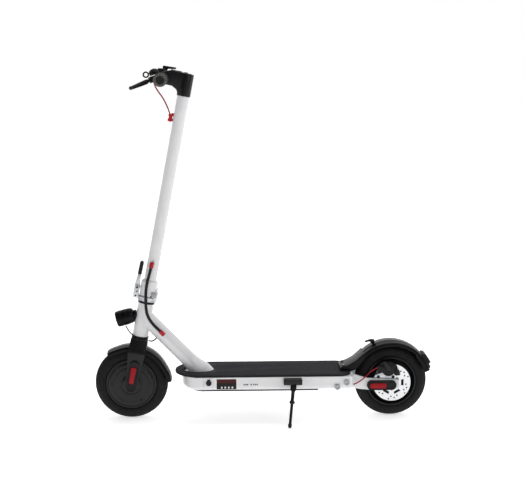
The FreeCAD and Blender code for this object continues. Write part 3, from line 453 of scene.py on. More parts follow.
def soften(piece, width, segments=3, degrees=40):
    """Rounds every edge that is sharper than the given angle; width in millimetres."""
    return modify(piece, "BEVEL", width=width * MM, segments=segments, limit_method="ANGLE",
                  angle_limit=math.radians(degrees), use_clamp_overlap=True)


def carve(piece, tool, operation="DIFFERENCE"):
    modify(piece, "BOOLEAN", operation=operation, object=tool, solver="EXACT")
    only(tool)
    bpy.ops.object.delete()
    return piece


def first_point(name, point):
    """A mesh of one point, made from a plane whose corners are merged."""
    deselect()
    bpy.ops.mesh.primitive_plane_add(size=0.01, location=point)
    piece = started(name)
    bpy.ops.object.transform_apply(location=True, rotation=False, scale=False)
    bpy.ops.object.mode_set(mode="EDIT")
    bpy.ops.mesh.select_mode(type="VERT")
    bpy.ops.mesh.select_all(action="SELECT")
    bpy.ops.mesh.merge(type="CENTER")
    return piece


def chain(name, points, closed=False):
    """A line of points drawn by extruding one from the next, left selected in edit mode."""
    piece = first_point(name, points[0])
    for here, after in zip(points, points[1:]):
        bpy.ops.mesh.extrude_region_move(TRANSFORM_OT_translate={"value": Vector(after) - Vector(here)})
    if closed:
        ends = [Vector(points[0]), Vector(points[-1])]
        pick(piece, lambda co: min((co - end).length for end in ends) < 5e-6)
        bpy.ops.mesh.edge_face_add()
    bpy.ops.mesh.select_all(action="SELECT")
    return piece


def tidy_normals():
    bpy.ops.mesh.select_all(action="SELECT")
    bpy.ops.mesh.remove_doubles(threshold=MERGE)
    bpy.ops.mesh.normals_make_consistent(inside=False)
    bpy.ops.object.mode_set(mode="OBJECT")


def about(point, axis):
    """A frame at a point whose Z runs along an axis."""
    turn = Vector((0, 0, 1)).rotation_difference(Vector(axis))
    return Matrix.Translation(point) @ turn.to_matrix().to_4x4()


def turned(name, profile, place, steps=96, degrees=360, closed=True):
    """A profile of (radius, along) in millimetres spun about the Z of its place, its ends capped."""
    points = [place @ Vector((r * MM, 0, a * MM)) for r, a in profile]
    piece = chain(name, points, closed)
    bpy.ops.mesh.spin(steps=steps, angle=math.radians(degrees), center=place.translation,
                      axis=place.to_3x3() @ Vector((0, 0, 1)))
    if degrees < 360:
        bpy.ops.mesh.select_all(action="SELECT")
        bpy.ops.mesh.remove_doubles(threshold=MERGE)
        bpy.ops.mesh.select_all(action="DESELECT")
        bpy.ops.mesh.select_non_manifold()
        bpy.ops.mesh.fill_holes(sides=0)
    tidy_normals()
    return piece


def rounded(corners, steps=5):
    """Corners of (x, z, radius): each becomes an arc that is tangent to both of its sides."""
    points = []
    for i, (x, z, radius) in enumerate(corners):
        here = Vector((x, z))
        if not radius:
            points.append((x, z))
            continue
        before = (Vector(corners[i - 1][:2]) - here).normalized()
        after = (Vector(corners[(i + 1) % len(corners)][:2]) - here).normalized()
        half = before.angle(after) / 2
        centre = here + (before + after).normalized() * radius / math.sin(half)
        first = here + before * radius / math.tan(half) - centre
        last = here + after * radius / math.tan(half) - centre
        sweep = math.pi - 2 * half
        for k in range(steps + 1):
            share = k / steps
            arm = first * math.sin((1 - share) * sweep) + last * math.sin(share * sweep)
            points.append(tuple(centre + arm / math.sin(sweep)))
    return points


def even(radius, *corners):
    """The same rounding on every corner."""
    return [(x, z, radius) for x, z in corners]


def slab(name, corners, low, high, place, soft=0.0, segments=3, degrees=50):
    """A rounded outline in a place's XZ plane, extruded along its Y from low to high, and softened."""
    outline = rounded(corners)
    piece = chain(name, [place @ Vector((x * MM, low * MM, z * MM)) for x, z in outline], closed=True)
    bpy.ops.mesh.edge_face_add()
    bpy.ops.mesh.extrude_region_move(
        TRANSFORM_OT_translate={"value": place.to_3x3() @ Vector((0, (high - low) * MM, 0))})
    tidy_normals()
    return soften(piece, soft, segments, degrees) if soft else piece


def post(name, radius, start, end, soft=0.4, sides=32, segments=2):
    """A round bar between two points, with its rims broken."""
    deselect()
    along = Vector(end) - Vector(start)
    bpy.ops.mesh.primitive_cylinder_add(vertices=sides, radius=radius * MM, depth=along.length,
                                        location=(Vector(start) + Vector(end)) / 2,
                                        rotation=along.to_track_quat("Z", "Y").to_euler())
    piece = started(name)
    bpy.ops.object.transform_apply(location=True, rotation=True, scale=True)
    return soften(piece, soft, segments) if soft else piece


def joined(name, *pieces):
    deselect()
    for piece in pieces:
        piece.select_set(True)
    bpy.context.view_layer.objects.active = pieces[0]
    if len(pieces) > 1:
        bpy.ops.object.join()
    return started(name)


def copied(piece, name, move=(0, 0, 0), mirror=False):
    """A copy with its own mesh, moved, or mirrored to the other side of the scooter."""
    only(piece)
    bpy.ops.object.duplicate()
    twin = started(name)
    bpy.ops.object.mode_set(mode="EDIT")
    bpy.ops.mesh.select_all(action="SELECT")
    if mirror:
        bpy.ops.transform.resize(value=(1, -1, 1), center_override=(0, 0, 0))
        bpy.ops.mesh.normals_make_consistent(inside=False)
    bpy.ops.transform.translate(value=move)
    bpy.ops.object.mode_set(mode="OBJECT")
    return twin


def dress(piece, maker, body, slot, *nodes, smooth=40):
    """Gives a finished piece its finish and its body, and hides the CAD nodes that it stands for; the slot is
    not used.
    """
    only(piece)
    bpy.ops.object.transform_apply(location=True, rotation=True, scale=True)
    bpy.ops.object.shade_smooth_by_angle(angle=math.radians(smooth))
    piece.data.materials.clear()
    piece.data.materials.append(finish_of(maker))
    if nodes:
        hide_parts(*nodes)
    if body:
        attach(piece, body)
    return piece


def lead(name, points, radius, rib=None):
    """A round sheath along a smooth spline near the given points; rib is its rings' spacing in mm."""
    while len(points) < 5:
        points = [points[0], points[0].lerp(points[1], 0.5), *points[1:]]
    deselect()
    bpy.ops.curve.primitive_nurbs_path_add(location=(0, 0, 0))
    piece = started(name)
    spline = piece.data.splines[0]
    spline.points.add(len(points) - len(spline.points))
    for control, point in zip(spline.points, points):
        control.co = (*point, 1)
    spline.order_u = 3
    spline.use_endpoint_u = True
    spline.resolution_u = 12
    if rib:
        bpy.ops.object.convert(target="MESH")
        trail = [v.co.copy() for v in bpy.context.object.data.vertices]
        bpy.ops.object.delete()
        stations = walk(trail, rib * MM / 4)
        deselect()
        bpy.ops.curve.primitive_nurbs_path_add(location=(0, 0, 0))
        piece = started(name)
        spline = piece.data.splines[0]
        spline.type = "POLY"
        spline.points.add(len(stations) - len(spline.points))
        for k, (control, point) in enumerate(zip(spline.points, stations)):
            control.co = (*point, 1)
            control.radius = (1.0, 0.97, 0.86, 0.97)[k % 4]
    piece.data.bevel_depth = radius * MM
    piece.data.bevel_resolution = 4
    piece.data.use_fill_caps = True
    bpy.ops.object.convert(target="MESH")
    piece = bpy.context.object
    only(piece)
    bpy.ops.object.mode_set(mode="EDIT")
    tidy_normals()
    return piece


def walk(trail, pitch):
    """Evenly spaced points along a line of points, its last point included."""
    out, left = [trail[0]], pitch
    for here, after in zip(trail, trail[1:]):
        length = (after - here).length
        run = left
        while run <= length:
            out.append(here.lerp(after, run / length))
            run += pitch
        left = run - length
    out.append(trail[-1])
    return out


ROW = Matrix.Translation((FRONT_AXLE.x, 0, 0))
SWAP = Matrix(((1, 0, 0, 0), (0, 0, 1, 0), (0, 1, 0, 0), (0, 0, 0, 1)))
PLAN = ROW @ SWAP
ACROSS = Matrix(((0, 1, 0, 0), (1, 0, 0, 0), (0, 0, 1, 0), (0, 0, 0, 1)))
FACING = STEER @ ACROSS
FRONT_HUB = about(FRONT_AXLE, (0, 1, 0))
REAR_HUB = about(REAR_AXLE, (0, 1, 0))
BAR_FRAME = Matrix.Translation(BAR)
LEVER_TILT = math.radians(22)
LEVER = Matrix.Translation(BAR + Vector((-31, -84, -2)) * MM) @ Matrix((
    (-math.cos(LEVER_TILT), 0, -math.sin(LEVER_TILT), 0), (0, -1, 0, 0),
    (-math.sin(LEVER_TILT), 0, math.cos(LEVER_TILT), 0), (0, 0, 0, 1)))
BELL_SEAT = Matrix.Translation(BAR + Vector((-24, -53, 12)) * MM) @ Matrix.Rotation(math.radians(-20), 4, "Y")
LAMP = Matrix.Translation(spot(4.5, 0, 332.5)) @ Matrix.Rotation(math.radians(-106), 4, "Y")
PIVOT = spot(508, -100, 114)
FOOT = spot(495.5, -136.8, 6.6)


# ---- sizes and colours that a user may change ----

class ScooterSettings(bpy.types.PropertyGroup):
    tread_groove: FloatProperty(
        name="Tread groove", description="Depth of the tyres' grooves", default=1.8 * MM, unit="LENGTH")
    floor_colour: FloatVectorProperty(
        name="Floor", description="Colour of the studio floor", subtype="COLOR", size=4,
        default=linear("#FFFFFF"), min=0, max=1)
    camera_height: FloatProperty(name="Camera height", description="Height of the camera above the ground",
                                 default=1.15, unit="LENGTH")
    camera_distance: FloatProperty(name="Camera distance",
                                   description="Distance of the camera from the scooter", default=3.5,
                                   unit="LENGTH")


def settings():
    return bpy.context.scene.scooter


class PieceOperator:
    bl_options = {"REGISTER", "UNDO"}


class SCOOTER_OT_stage(PieceOperator, bpy.types.Operator):
    """Makes the pale floor, the soft lights and the camera"""
    bl_idname = "scooter.stage"
    bl_label = "Stage"

    def execute(self, context):
        scene = context.scene
        scene.view_settings.view_transform = "Standard"
        deselect()
        bpy.ops.mesh.primitive_plane_add(size=40, location=(0, 0, GROUND - 0.0005))
        floor = started("studio_floor")
        sheet = Sheet("studio_paper")
        floor.data.materials.append(sheet.finish(
            Base_Color=settings().floor_colour, Roughness=0.9, Emission_Color=settings().floor_colour,
            Emission_Strength=FLOOR_GLOW))
        world = bpy.data.worlds.new("studio")
        scene.world = world
        world.use_nodes = True
        tree = world.node_tree
        background = tree.nodes["Background"]
        coordinates = tree.nodes.new("ShaderNodeTexCoord")
        toward = tree.nodes.new("ShaderNodeVectorMath")
        toward.operation = "DOT_PRODUCT"
        toward.inputs[1].default_value = (0.3, 1.0, 0.0)
        sweep = tree.nodes.new("ShaderNodeMapRange")
        sweep.interpolation_type = "SMOOTHSTEP"
        for socket, value in zip(sweep.inputs[1:5], (WORLD_FROM, WORLD_TO, WORLD_DARK, WORLD_BRIGHT)):
            socket.default_value = value
        tree.links.new(coordinates.outputs["Generated"], toward.inputs[0])
        tree.links.new(toward.outputs["Value"], sweep.inputs[0])
        tree.links.new(sweep.outputs[0], background.inputs["Strength"])
        background.inputs["Color"].default_value = linear("#FFFFFF")
        for name, place, size, power in AREA_LIGHTS:
            bpy.ops.object.light_add(type="AREA", location=place)
            light = started(name)
            light.data.size = size
            light.data.energy = power
            aim = Vector((0, 0, 0.4)) - Vector(place)
            light.rotation_euler = aim.to_track_quat("-Z", "Y").to_euler()
        bpy.ops.object.camera_add(
            location=(FRONT_AXLE.x + CAMERA_ASIDE, -settings().camera_distance, settings().camera_height),
            rotation=(math.radians(90 + CAMERA_PITCH), 0, math.radians(CAMERA_YAW)))
        camera = started("camera")
        camera.data.sensor_width = 36
        camera.data.lens = CAMERA_LENS
        scene.camera = camera
        return {"FINISHED"}


class SCOOTER_OT_finishes(PieceOperator, bpy.types.Operator):
    """Gives every CAD node the finish of its real material"""
    bl_idname = "scooter.finishes"
    bl_label = "Finishes"

    def execute(self, context):
        for maker, names in NODE_FINISHES.items():
            for name in names:
                mesh = frame["nodes"][name].data
                mesh.materials.clear()
                mesh.materials.append(finish_of(maker))
        return {"FINISHED"}


def tyre_profile():
    """The section in millimetres: bead, ringed sidewall, shoulder and grooved tread, then the inside."""
    groove = settings().tread_groove / MM
    outer = []
    for degrees in range(-60, 61, 4):
        angle = math.radians(degrees)
        bulge = 25.0
        if abs(degrees) in (8, 28):
            bulge -= groove
        if abs(degrees) == 48:
            bulge -= 0.7
        outer.append((90 + bulge * math.cos(angle), bulge * math.sin(angle)))
    wall = [(91, 24.9), (88.5, 24.9), (88, 24.3), (86, 24.4), (85.5, 24.9), (83.4, 24.4), (81.5, 23.4),
            (80.2, 21.4)]
    inside = [(80.2, 17.5), (90, 20), (104, 14), (109.5, 0)]
    return ([(r, -a) for r, a in reversed(wall)] + outer + wall + inside + [(r, -a) for r,
                                                                            a in reversed(inside[:-1])])


class SCOOTER_OT_tyres(PieceOperator, bpy.types.Operator):
    """Moulds both pneumatic tyres with their grooves, shoulder sipes and bead rings"""
    bl_idname = "scooter.tyres"
    bl_label = "Tyres"

    def execute(self, context):
        tyre = turned("front_tyre_moulding", tyre_profile(), FRONT_HUB, steps=144)

        def sipe(centre, normal):
            arm = centre - FRONT_AXLE
            around = math.degrees(math.atan2(arm.z, arm.x)) % 10
            across = abs(arm.y) / MM
            return 13 < across < 18.5 and around < 2.4 and math.hypot(arm.x, arm.z) > 0.1
        pick(tyre, sipe, "FACE")
        bpy.ops.mesh.inset(thickness=0.0003, depth=-0.0012)
        bpy.ops.object.mode_set(mode="OBJECT")
        rear = copied(tyre, "rear_tyre_moulding", REAR_AXLE - FRONT_AXLE)
        dress(tyre, tyre_rubber, "front_wheel", "tyre_rubber", "front_tyre", smooth=35)
        dress(rear, tyre_rubber, "rear_wheel", "tyre_rubber", "rear_tyre", smooth=35)
        return {"FINISHED"}


class SCOOTER_OT_wheels(PieceOperator, bpy.types.Operator):
    """Turns the motor wheel's shell and cover and the rear rim, and fits their air valves"""
    bl_idname = "scooter.wheels"
    bl_label = "Wheels"

    def execute(self, context):
        cover = turned("motor_side_cover", [(16.2, -24), (66, -24), (66, -20), (70, -20), (70, -27.4),
                                            (69.4, -28), (68.2, -28.6), (67.4, -29.6), (66.4, -30),
                                            (56.6, -30), (56, -30.4), (55.4, -31.2), (54.6, -31.5),
                                            (33, -31.5), (31.6, -31.2), (31, -30.6), (30, -30.9),
                                            (29.4, -31.6), (26.6, -33.4), (25.4, -34), (16.2, -34)],
                       FRONT_HUB, 128)
        dress(cover, satin_black_enamel, "front_wheel", "black_paint", "motor_cover", smooth=30)
        shell = turned("motor_wheel_shell", [(16.2, 24), (16.2, 34), (25, 34), (26.4, 33.4), (30, 31),
                                             (31.6, 30.2), (57, 29.4), (58.4, 28.6), (60, 28.6), (61.4, 29.2),
                                             (68, 28.2), (71, 27.2), (74, 26.4), (76, 26.4), (78.6, 25.4),
                                             (79.9, 24), (79.9, -24), (78.6, -25.4), (76.6, -26), (74, -26),
                                             (73.2, -25.2), (72, -25), (71.2, -26), (70.1, -26), (70.1, 24)],
                       FRONT_HUB, 128)
        dress(shell, satin_black_enamel, "front_wheel", "black_paint", "motor_shell", smooth=30)
        rim = turned("rear_wheel_rim", [(13.1, -36), (26.4, -36), (27, -35.4), (27, -14), (28.6, -11),
                                        (34, -6.6), (36, -6), (62, -6), (66, -7), (69, -10), (72, -20),
                                        (73.4, -23), (75, -25), (77, -25.2), (79, -24.6), (79.9, -23),
                                        (79.9, 23), (79, 24.6), (77, 25.2), (75, 25), (72.6, 22.6), (68.6, 4),
                                        (67, 2), (36, 2), (34, 2.6), (28.4, 7), (27, 9), (27, 23.4),
                                        (26.4, 24), (13.1, 24)], REAR_HUB, 128)
        dress(rim, satin_black_enamel, "rear_wheel", "black_paint", "rear_rim", smooth=30)
        for hub, body, at, tilt in ((FRONT_HUB, "front_wheel", (72.5, 25.6), 200),
                                    (REAR_HUB, "rear_wheel", (66, 6), 205)):
            foot = hub @ Matrix.Rotation(math.radians(tilt), 4, "Z") @ Vector((at[0] * MM, 0, at[1] * MM))
            tip = foot + Vector((0, VALVE_LENGTH * MM, 0))
            stem = joined(body + "_valve", post(body + "_stem", 2.2, foot, tip, 0.3, 20),
                          post(body + "_cap", 3.4, foot + (tip - foot) * 0.45, tip, 0.5, 12))
            dress(stem, grip_rubber, body, "black_rubber")
        return {"FINISHED"}


class SCOOTER_OT_fork(PieceOperator, bpy.types.Operator):
    """Forms the fork's two blades and its crown with rounded shoulders"""
    bl_idname = "scooter.fork"
    bl_label = "Fork"

    def execute(self, context):
        side_view = [(-26, 150, 3), (26, 150, 3), (27, 112, 60), (21.5, 52, 60), (17.5, 8, 20),
                     (17.5, -17, 16.5), (-17.5, -17, 16.5), (-17.5, 8, 20), (-21, 52, 60), (-28, 110, 60)]
        front_view = [(-56, -18, 0), (-56, 112, 30), (-33, 150, 10), (33, 150, 10), (56, 112, 30),
                      (56, -18, 0), (46.2, -18, 0), (46.2, 117, 12), (34, 133.2, 8), (-34, 133.2, 8),
                      (-46.2, 117, 12), (-46.2, -18, 0)]
        fork = slab("fork_blades", front_view, -40, 40, FACING)
        carve(fork, slab("fork_side_view", side_view, -60, 60, STEER), "INTERSECT")
        soften(fork, 2.6, 3, 45)
        steerer = turned("steerer", [(11, 140), (14, 140), (14, 270), (11, 270)], STEER, 48)
        fork = joined("fork_blades", fork, steerer)
        dress(fork, satin_black_enamel, "fork", "black_paint", "fork", smooth=45)
        return {"FINISHED"}


def pill(radius, low, high):
    """An upright pill outline in the steering frame."""
    return [(-radius, high, radius * 0.96), (radius, high, radius * 0.96), (radius, low, radius * 0.96),
            (-radius, low, radius * 0.96)]


class SCOOTER_OT_fork_covers(PieceOperator, bpy.types.Operator):
    """Moulds the covers over the front axle's ends, with their bolt caps and red reflectors"""
    bl_idname = "scooter.fork_covers"
    bl_label = "Fork covers"

    def execute(self, context):
        cover = slab("cover_left", pill(16.6, -15, 84), -66, -56.1, STEER)
        pick(cover, lambda c, n: n.y < -0.9, "FACE")
        bpy.ops.mesh.inset(thickness=0.0026, depth=0)
        bpy.ops.mesh.inset(thickness=0.0008, depth=-0.0016)
        bpy.ops.object.mode_set(mode="OBJECT")
        soften(cover, 1.0, 3, 50)
        ring = turned("axle_cap", [(0, -63.6), (9.4, -63.6), (9.4, -65.4), (8.8, -66), (6.2, -66), (5.6, -65),
                                   (0, -65)], FRONT_HUB, 48, closed=False)
        cover = joined("cover_left", cover, ring)
        seal = turned("crown_seal", [(14.1, 150), (26.2, 150), (26.2, 151.2), (25.6, 151.6), (14.1, 151.6)],
                      STEER, 64)
        top_seal = turned("headset_seal", [(14.1, 266.4), (26.2, 266.4), (27, 267.6), (27, 269.4),
                                           (26, 269.9), (14.1, 269.9)], STEER, 64)
        twin = copied(cover, "cover_right", mirror=True)
        dress(joined("fork_axle_covers", cover, twin, seal, top_seal), moulded_black_plastic, "fork",
              "black_plastic", "fork_trim")
        lens = slab("reflector_left", [(-6.6, 12, 5.5), (6.6, 12, 5.5), (8.4, 66, 7), (-8.4, 66, 7)], -68,
                    -64.3, STEER, 0.9)
        twin = copied(lens, "reflector_right", mirror=True)
        dress(joined("fork_reflector_pair", lens, twin), red_reflector, "fork", "red_lens", "fork_reflectors")
        return {"FINISHED"}


def fender_section(half, hem, crown):
    """A mudguard's section: hems, tall sides, round shoulders and a raised band down its middle."""
    side = [(hem, half), (hem + 1.8, half), (hem + 2.6, half - 0.9), (crown - 8, half - 0.9),
            (crown - 5.4, half - 1.5), (crown - 3.2, half - 3.2), (crown - 1.8, half - 6),
            (crown - 1.2, half - 10), (crown - 1, 11.5), (crown, 9.5)]
    inner = [(hem, half - 2.4), (crown - 7, half - 3.4), (crown - 4.4, half - 6.4), (crown - 3.2, half - 12)]
    outer = side + [(r, -a) for r, a in reversed(side)]
    return outer + [(r, -a) for r, a in inner] + [(r, a) for r, a in reversed(inner)]


class SCOOTER_OT_front_fender(PieceOperator, bpy.types.Operator):
    """Moulds the front mudguard under the fork's crown, with both of its ends turned outwards"""
    bl_idname = "scooter.front_fender"
    bl_label = "Front mudguard"

    def execute(self, context):
        start = FRONT_HUB @ Matrix.Rotation(math.radians(-3), 4, "Z")
        guard = turned("front_mudguard", fender_section(32, 106, 122.5), start, steps=62, degrees=124)
        low, high = min(v.co.z for v in guard.data.vertices), min(v.co.x for v in guard.data.vertices)
        for test, move, reach in ((lambda co: co.z < low + 0.006, (5.5, 0, 0), 55),
                                  (lambda co: co.x < high + 0.006, (-2, 0, 2), 30)):
            pick(guard, test)
            bpy.ops.transform.translate(value=Vector(move) * MM, use_proportional_edit=True,
                                        proportional_edit_falloff="SMOOTH", proportional_size=reach * MM)
            bpy.ops.object.mode_set(mode="OBJECT")
        soften(guard, 0.7, 2, 60)
        saddle = slab("front_mudguard_saddle", even(4, (-24, 119.6), (24, 119.6), (22, 132.7), (-22, 132.7)),
                      -15, 15, STEER, 1.2)
        dress(joined("front_mudguard", guard, saddle), gloss_black_plastic, "fork", "black_plastic",
              "front_fender", smooth=35)
        return {"FINISHED"}


class SCOOTER_OT_headlight(PieceOperator, bpy.types.Operator):
    """Builds the headlight: ribbed barrel, bezel, chrome bowl, lamp chip and lens"""
    bl_idname = "scooter.headlight"
    bl_label = "Headlight"

    def execute(self, context):
        profile = [(0, -7), (14, -7), (18.4, -6.2), (21.4, -3.6), (23.4, 1.6), (24.2, 7.6), (24.8, 10.5),
                   (24.8, 12), (24.2, 12.6), (24.2, 14), (24.8, 14.6)]
        for k in range(3):
            start = 17 + 4.6 * k
            profile += [(25.4, start), (25.4, start + 2.6), (24.5, start + 3.2), (24.5, start + 4.0)]
        profile += [(25.5, 31.4), (24.7, 32.4), (24.7, 34), (25.4, 34.8), (25, 42), (24, 49.2), (23.2, 50),
                    (21.6, 50), (21, 49.2), (21, 10), (0, 6)]
        barrel = turned("headlight_barrel", profile, LAMP, 96, closed=False)
        neck = post("headlight_neck", 14, LAMP @ Vector((0, 0, -0.005)), LAMP @ Vector((0, 0, -0.016)), 1.0)
        plate = slab("headlight_bracket", even(2.5, (-28, 204), (-22.5, 204), (-22.5, 226), (-30, 226),
                                               (-33, 215)), -9, 9, STEER, 1.2)
        dress(joined("headlight_barrel", barrel, neck, plate), gloss_black_plastic, "frame", "black_plastic",
              "headlight_body", smooth=35)
        bowl = turned("headlight_bowl", [(3, 12), (8, 14), (13, 18), (17, 24), (19.5, 32), (20.6, 41),
                                         (20.9, 41), (20.4, 30), (17.8, 22), (13.4, 15.6), (8, 11.6),
                                         (3, 10)], LAMP, 64)
        dress(bowl, zinc_steel, "frame", "steel")
        chip = slab("headlight_chip", even(0.6, (-3, -3), (3, -3), (3, 3), (-3, 3)), 11, 13.4, LAMP @ SWAP,
                    0.4)
        dress(chip, lamp_phosphor, "frame", "display_plastic")
        lens = turned("headlight_glass", [(0, 44), (20.9, 43), (20.9, 46.6), (20.2, 47.4), (12, 49.2),
                                          (6, 49.8), (0, 50)], LAMP, 96, closed=False)
        dress(lens, lamp_glass, "frame", "clear_lens", "headlight_lens")
        return {"FINISHED"}


def deck_plan(front, half, rear, corner, notch_back, notch_half, grow=0.0):
    """The deck's outline from above: an elliptic nose, rounded rear corners and the wheel's notch."""
    centre = 218
    nose = []
    for degrees in range(-90, 91, 5):
        angle = math.radians(degrees)
        nose.append((centre - (centre - front + grow) * math.cos(angle), (half + grow) * math.sin(angle), 0))
    tail = [(rear + grow, half + grow, corner), (rear + grow, notch_half, 0), (notch_back, notch_half, 3),
            (notch_back, -notch_half, 3), (rear + grow, -notch_half, 0), (rear + grow, -half - grow, corner)]
    return nose + tail


class SCOOTER_OT_deck(PieceOperator, bpy.types.Operator):
    """Shapes the aluminium deck: top rim, barrelled sides, hollow inside and charging socket"""
    bl_idname = "scooter.deck"
    bl_label = "Deck"

    def execute(self, context):
        shell = slab("deck_tray", deck_plan(159, DECK_HALF, DECK_REAR, 14, 676, 38), DECK_BASE, 147.2, PLAN)

        def lower_edge(a, b):
            in_notch = max(abs(a.y), abs(b.y)) < 0.039 and a.x > 0.2
            return max(a.z, b.z) < 0.108 and not in_notch
        pick(shell, lower_edge, "EDGE")
        bpy.ops.mesh.bevel(offset=DECK_EDGE * MM, segments=7, profile=0.5, affect="EDGES")
        tidy_normals()
        rim = slab("deck_rim", deck_plan(158.4, 88, DECK_REAR, 14, 676, 38), 147.2, 150, PLAN, 0.9, 3, 60)
        room = slab("deck_room", [(200, -72, 24), (590, -72, 6), (590, 72, 6), (200, 72, 24)], 100, 141, PLAN)
        carve(shell, room)
        carve(shell, post("socket_bore", 7.7, spot(245, -70, 133), spot(245, -100, 133), 0))
        shell = joined("deck_tray", shell, rim)
        dress(shell, gloss_white_enamel, "frame", "white_paint", "deck_shell", smooth=35)
        seam = section_strip("nose_seam", 228.6, 229.2, 112, 147, 0.12)
        dress(seam, seam_shadow, "frame", "black_plastic")
        return {"FINISHED"}


def section_strip(name, start, end, low, high, thickness):
    """A thin strip that lies on the deck's left side and follows its round lower edge."""
    outer, inner = [], []
    for k in range(11):
        up = low + (high - low) * k / 10
        drop = max(0.0, DECK_BASE + DECK_EDGE - up)
        wall = DECK_HALF - DECK_EDGE + math.sqrt(max(DECK_EDGE ** 2 - drop ** 2, 0))
        outer.append((-wall - thickness, up, 0))
        inner.append((-wall + 0.4, up, 0))
    return slab(name, outer + inner[::-1], start, end, ROW @ ACROSS)


class SCOOTER_OT_side_label(PieceOperator, bpy.types.Operator):
    """Sticks the plain dark plate with its pale marks, and a row of dark dashes, on the deck's left side"""
    bl_idname = "scooter.side_label"
    bl_label = "Side label"

    def execute(self, context):
        plate = section_strip("side_plate", 269.6, 331, 111.5, 145.4, 0.25)
        dress(plate, printed_plate, "frame", "black_plastic")
        marks = [slab(f"mark_{k}", even(1.2, (283 + 11 * k, 115.5), (288 + 11 * k, 115.5),
                                        (288 + 11 * k, 121.5), (283 + 11 * k, 121.5)), -87.7, -86,
                      ROW) for k in range(4)]
        dress(joined("side_marks", *marks), pale_print, "frame", "white_paint")
        dashes = [slab(f"dash_{k}", [(at, 125, 0), (at + 3.4, 125, 0), (at + 4.6, 129.5, 0),
                                     (at + 1.2, 129.5, 0)], -87.6, -86, ROW) for k,
                  at in enumerate((353, 358.4, 363.8, 375, 382.5, 388, 393.5))]
        dress(joined("side_dashes", *dashes), printed_plate, "frame", "black_plastic")
        return {"FINISHED"}


class SCOOTER_OT_mat(PieceOperator, bpy.types.Operator):
    """Moulds the deck's rubber mat with its border rib and its field of studs"""
    bl_idname = "scooter.mat"
    bl_label = "Deck mat"

    def execute(self, context):
        mat = slab("foot_mat", deck_plan(138.4, 84, 691.5, 38, 661, 40), 150, 155.3, PLAN)
        tube = post("tube_room", 35.4, spot(41.8 + 120, 0, 332 - 124.5), spot(211.5 + 60, 0, 156 - 62), 0, 96)
        border = slab("mat_border", deck_plan(144.4, 78, 686, 34, 655, 46), 155.0, 155.95, PLAN)
        pick(border, lambda c, n: n.z > 0.9, "FACE")
        bpy.ops.mesh.inset(thickness=0.0022, depth=0)
        bpy.ops.mesh.inset(thickness=0.0004, depth=-0.0008)
        bpy.ops.object.mode_set(mode="OBJECT")
        carve(border, copied(tube, "tube_room_again"))
        carve(mat, tube)
        soften(mat, 1.6, 3, 60)
        deselect()
        bpy.ops.mesh.primitive_cylinder_add(vertices=8, radius=2.2 * MM, depth=0.8 * MM,
                                            location=spot(268, -66, 155.45))
        stud = started("stud")
        pick(stud, lambda c, n: n.z > 0.9, "FACE")
        bpy.ops.transform.resize(value=(0.62, 0.62, 1), center_override=spot(268, -66, 155.85))
        bpy.ops.object.mode_set(mode="OBJECT")
        only(stud)
        bpy.ops.object.transform_apply(location=True, rotation=True, scale=True)
        modify(stud, "ARRAY", count=52, use_relative_offset=False, use_constant_offset=True,
               constant_offset_displace=(STUD_PITCH * MM, 0, 0))
        modify(stud, "ARRAY", count=2, use_relative_offset=False, use_constant_offset=True,
               constant_offset_displace=(STUD_PITCH / 2 * MM, STUD_PITCH * 0.9 * MM, 0))
        modify(stud, "ARRAY", count=10, use_relative_offset=False, use_constant_offset=True,
               constant_offset_displace=(0, STUD_PITCH * 1.8 * MM, 0))
        dress(joined("foot_mat", mat, border, stud), charcoal_silicone, "frame", "black_rubber", "deck_mat")
        return {"FINISHED"}


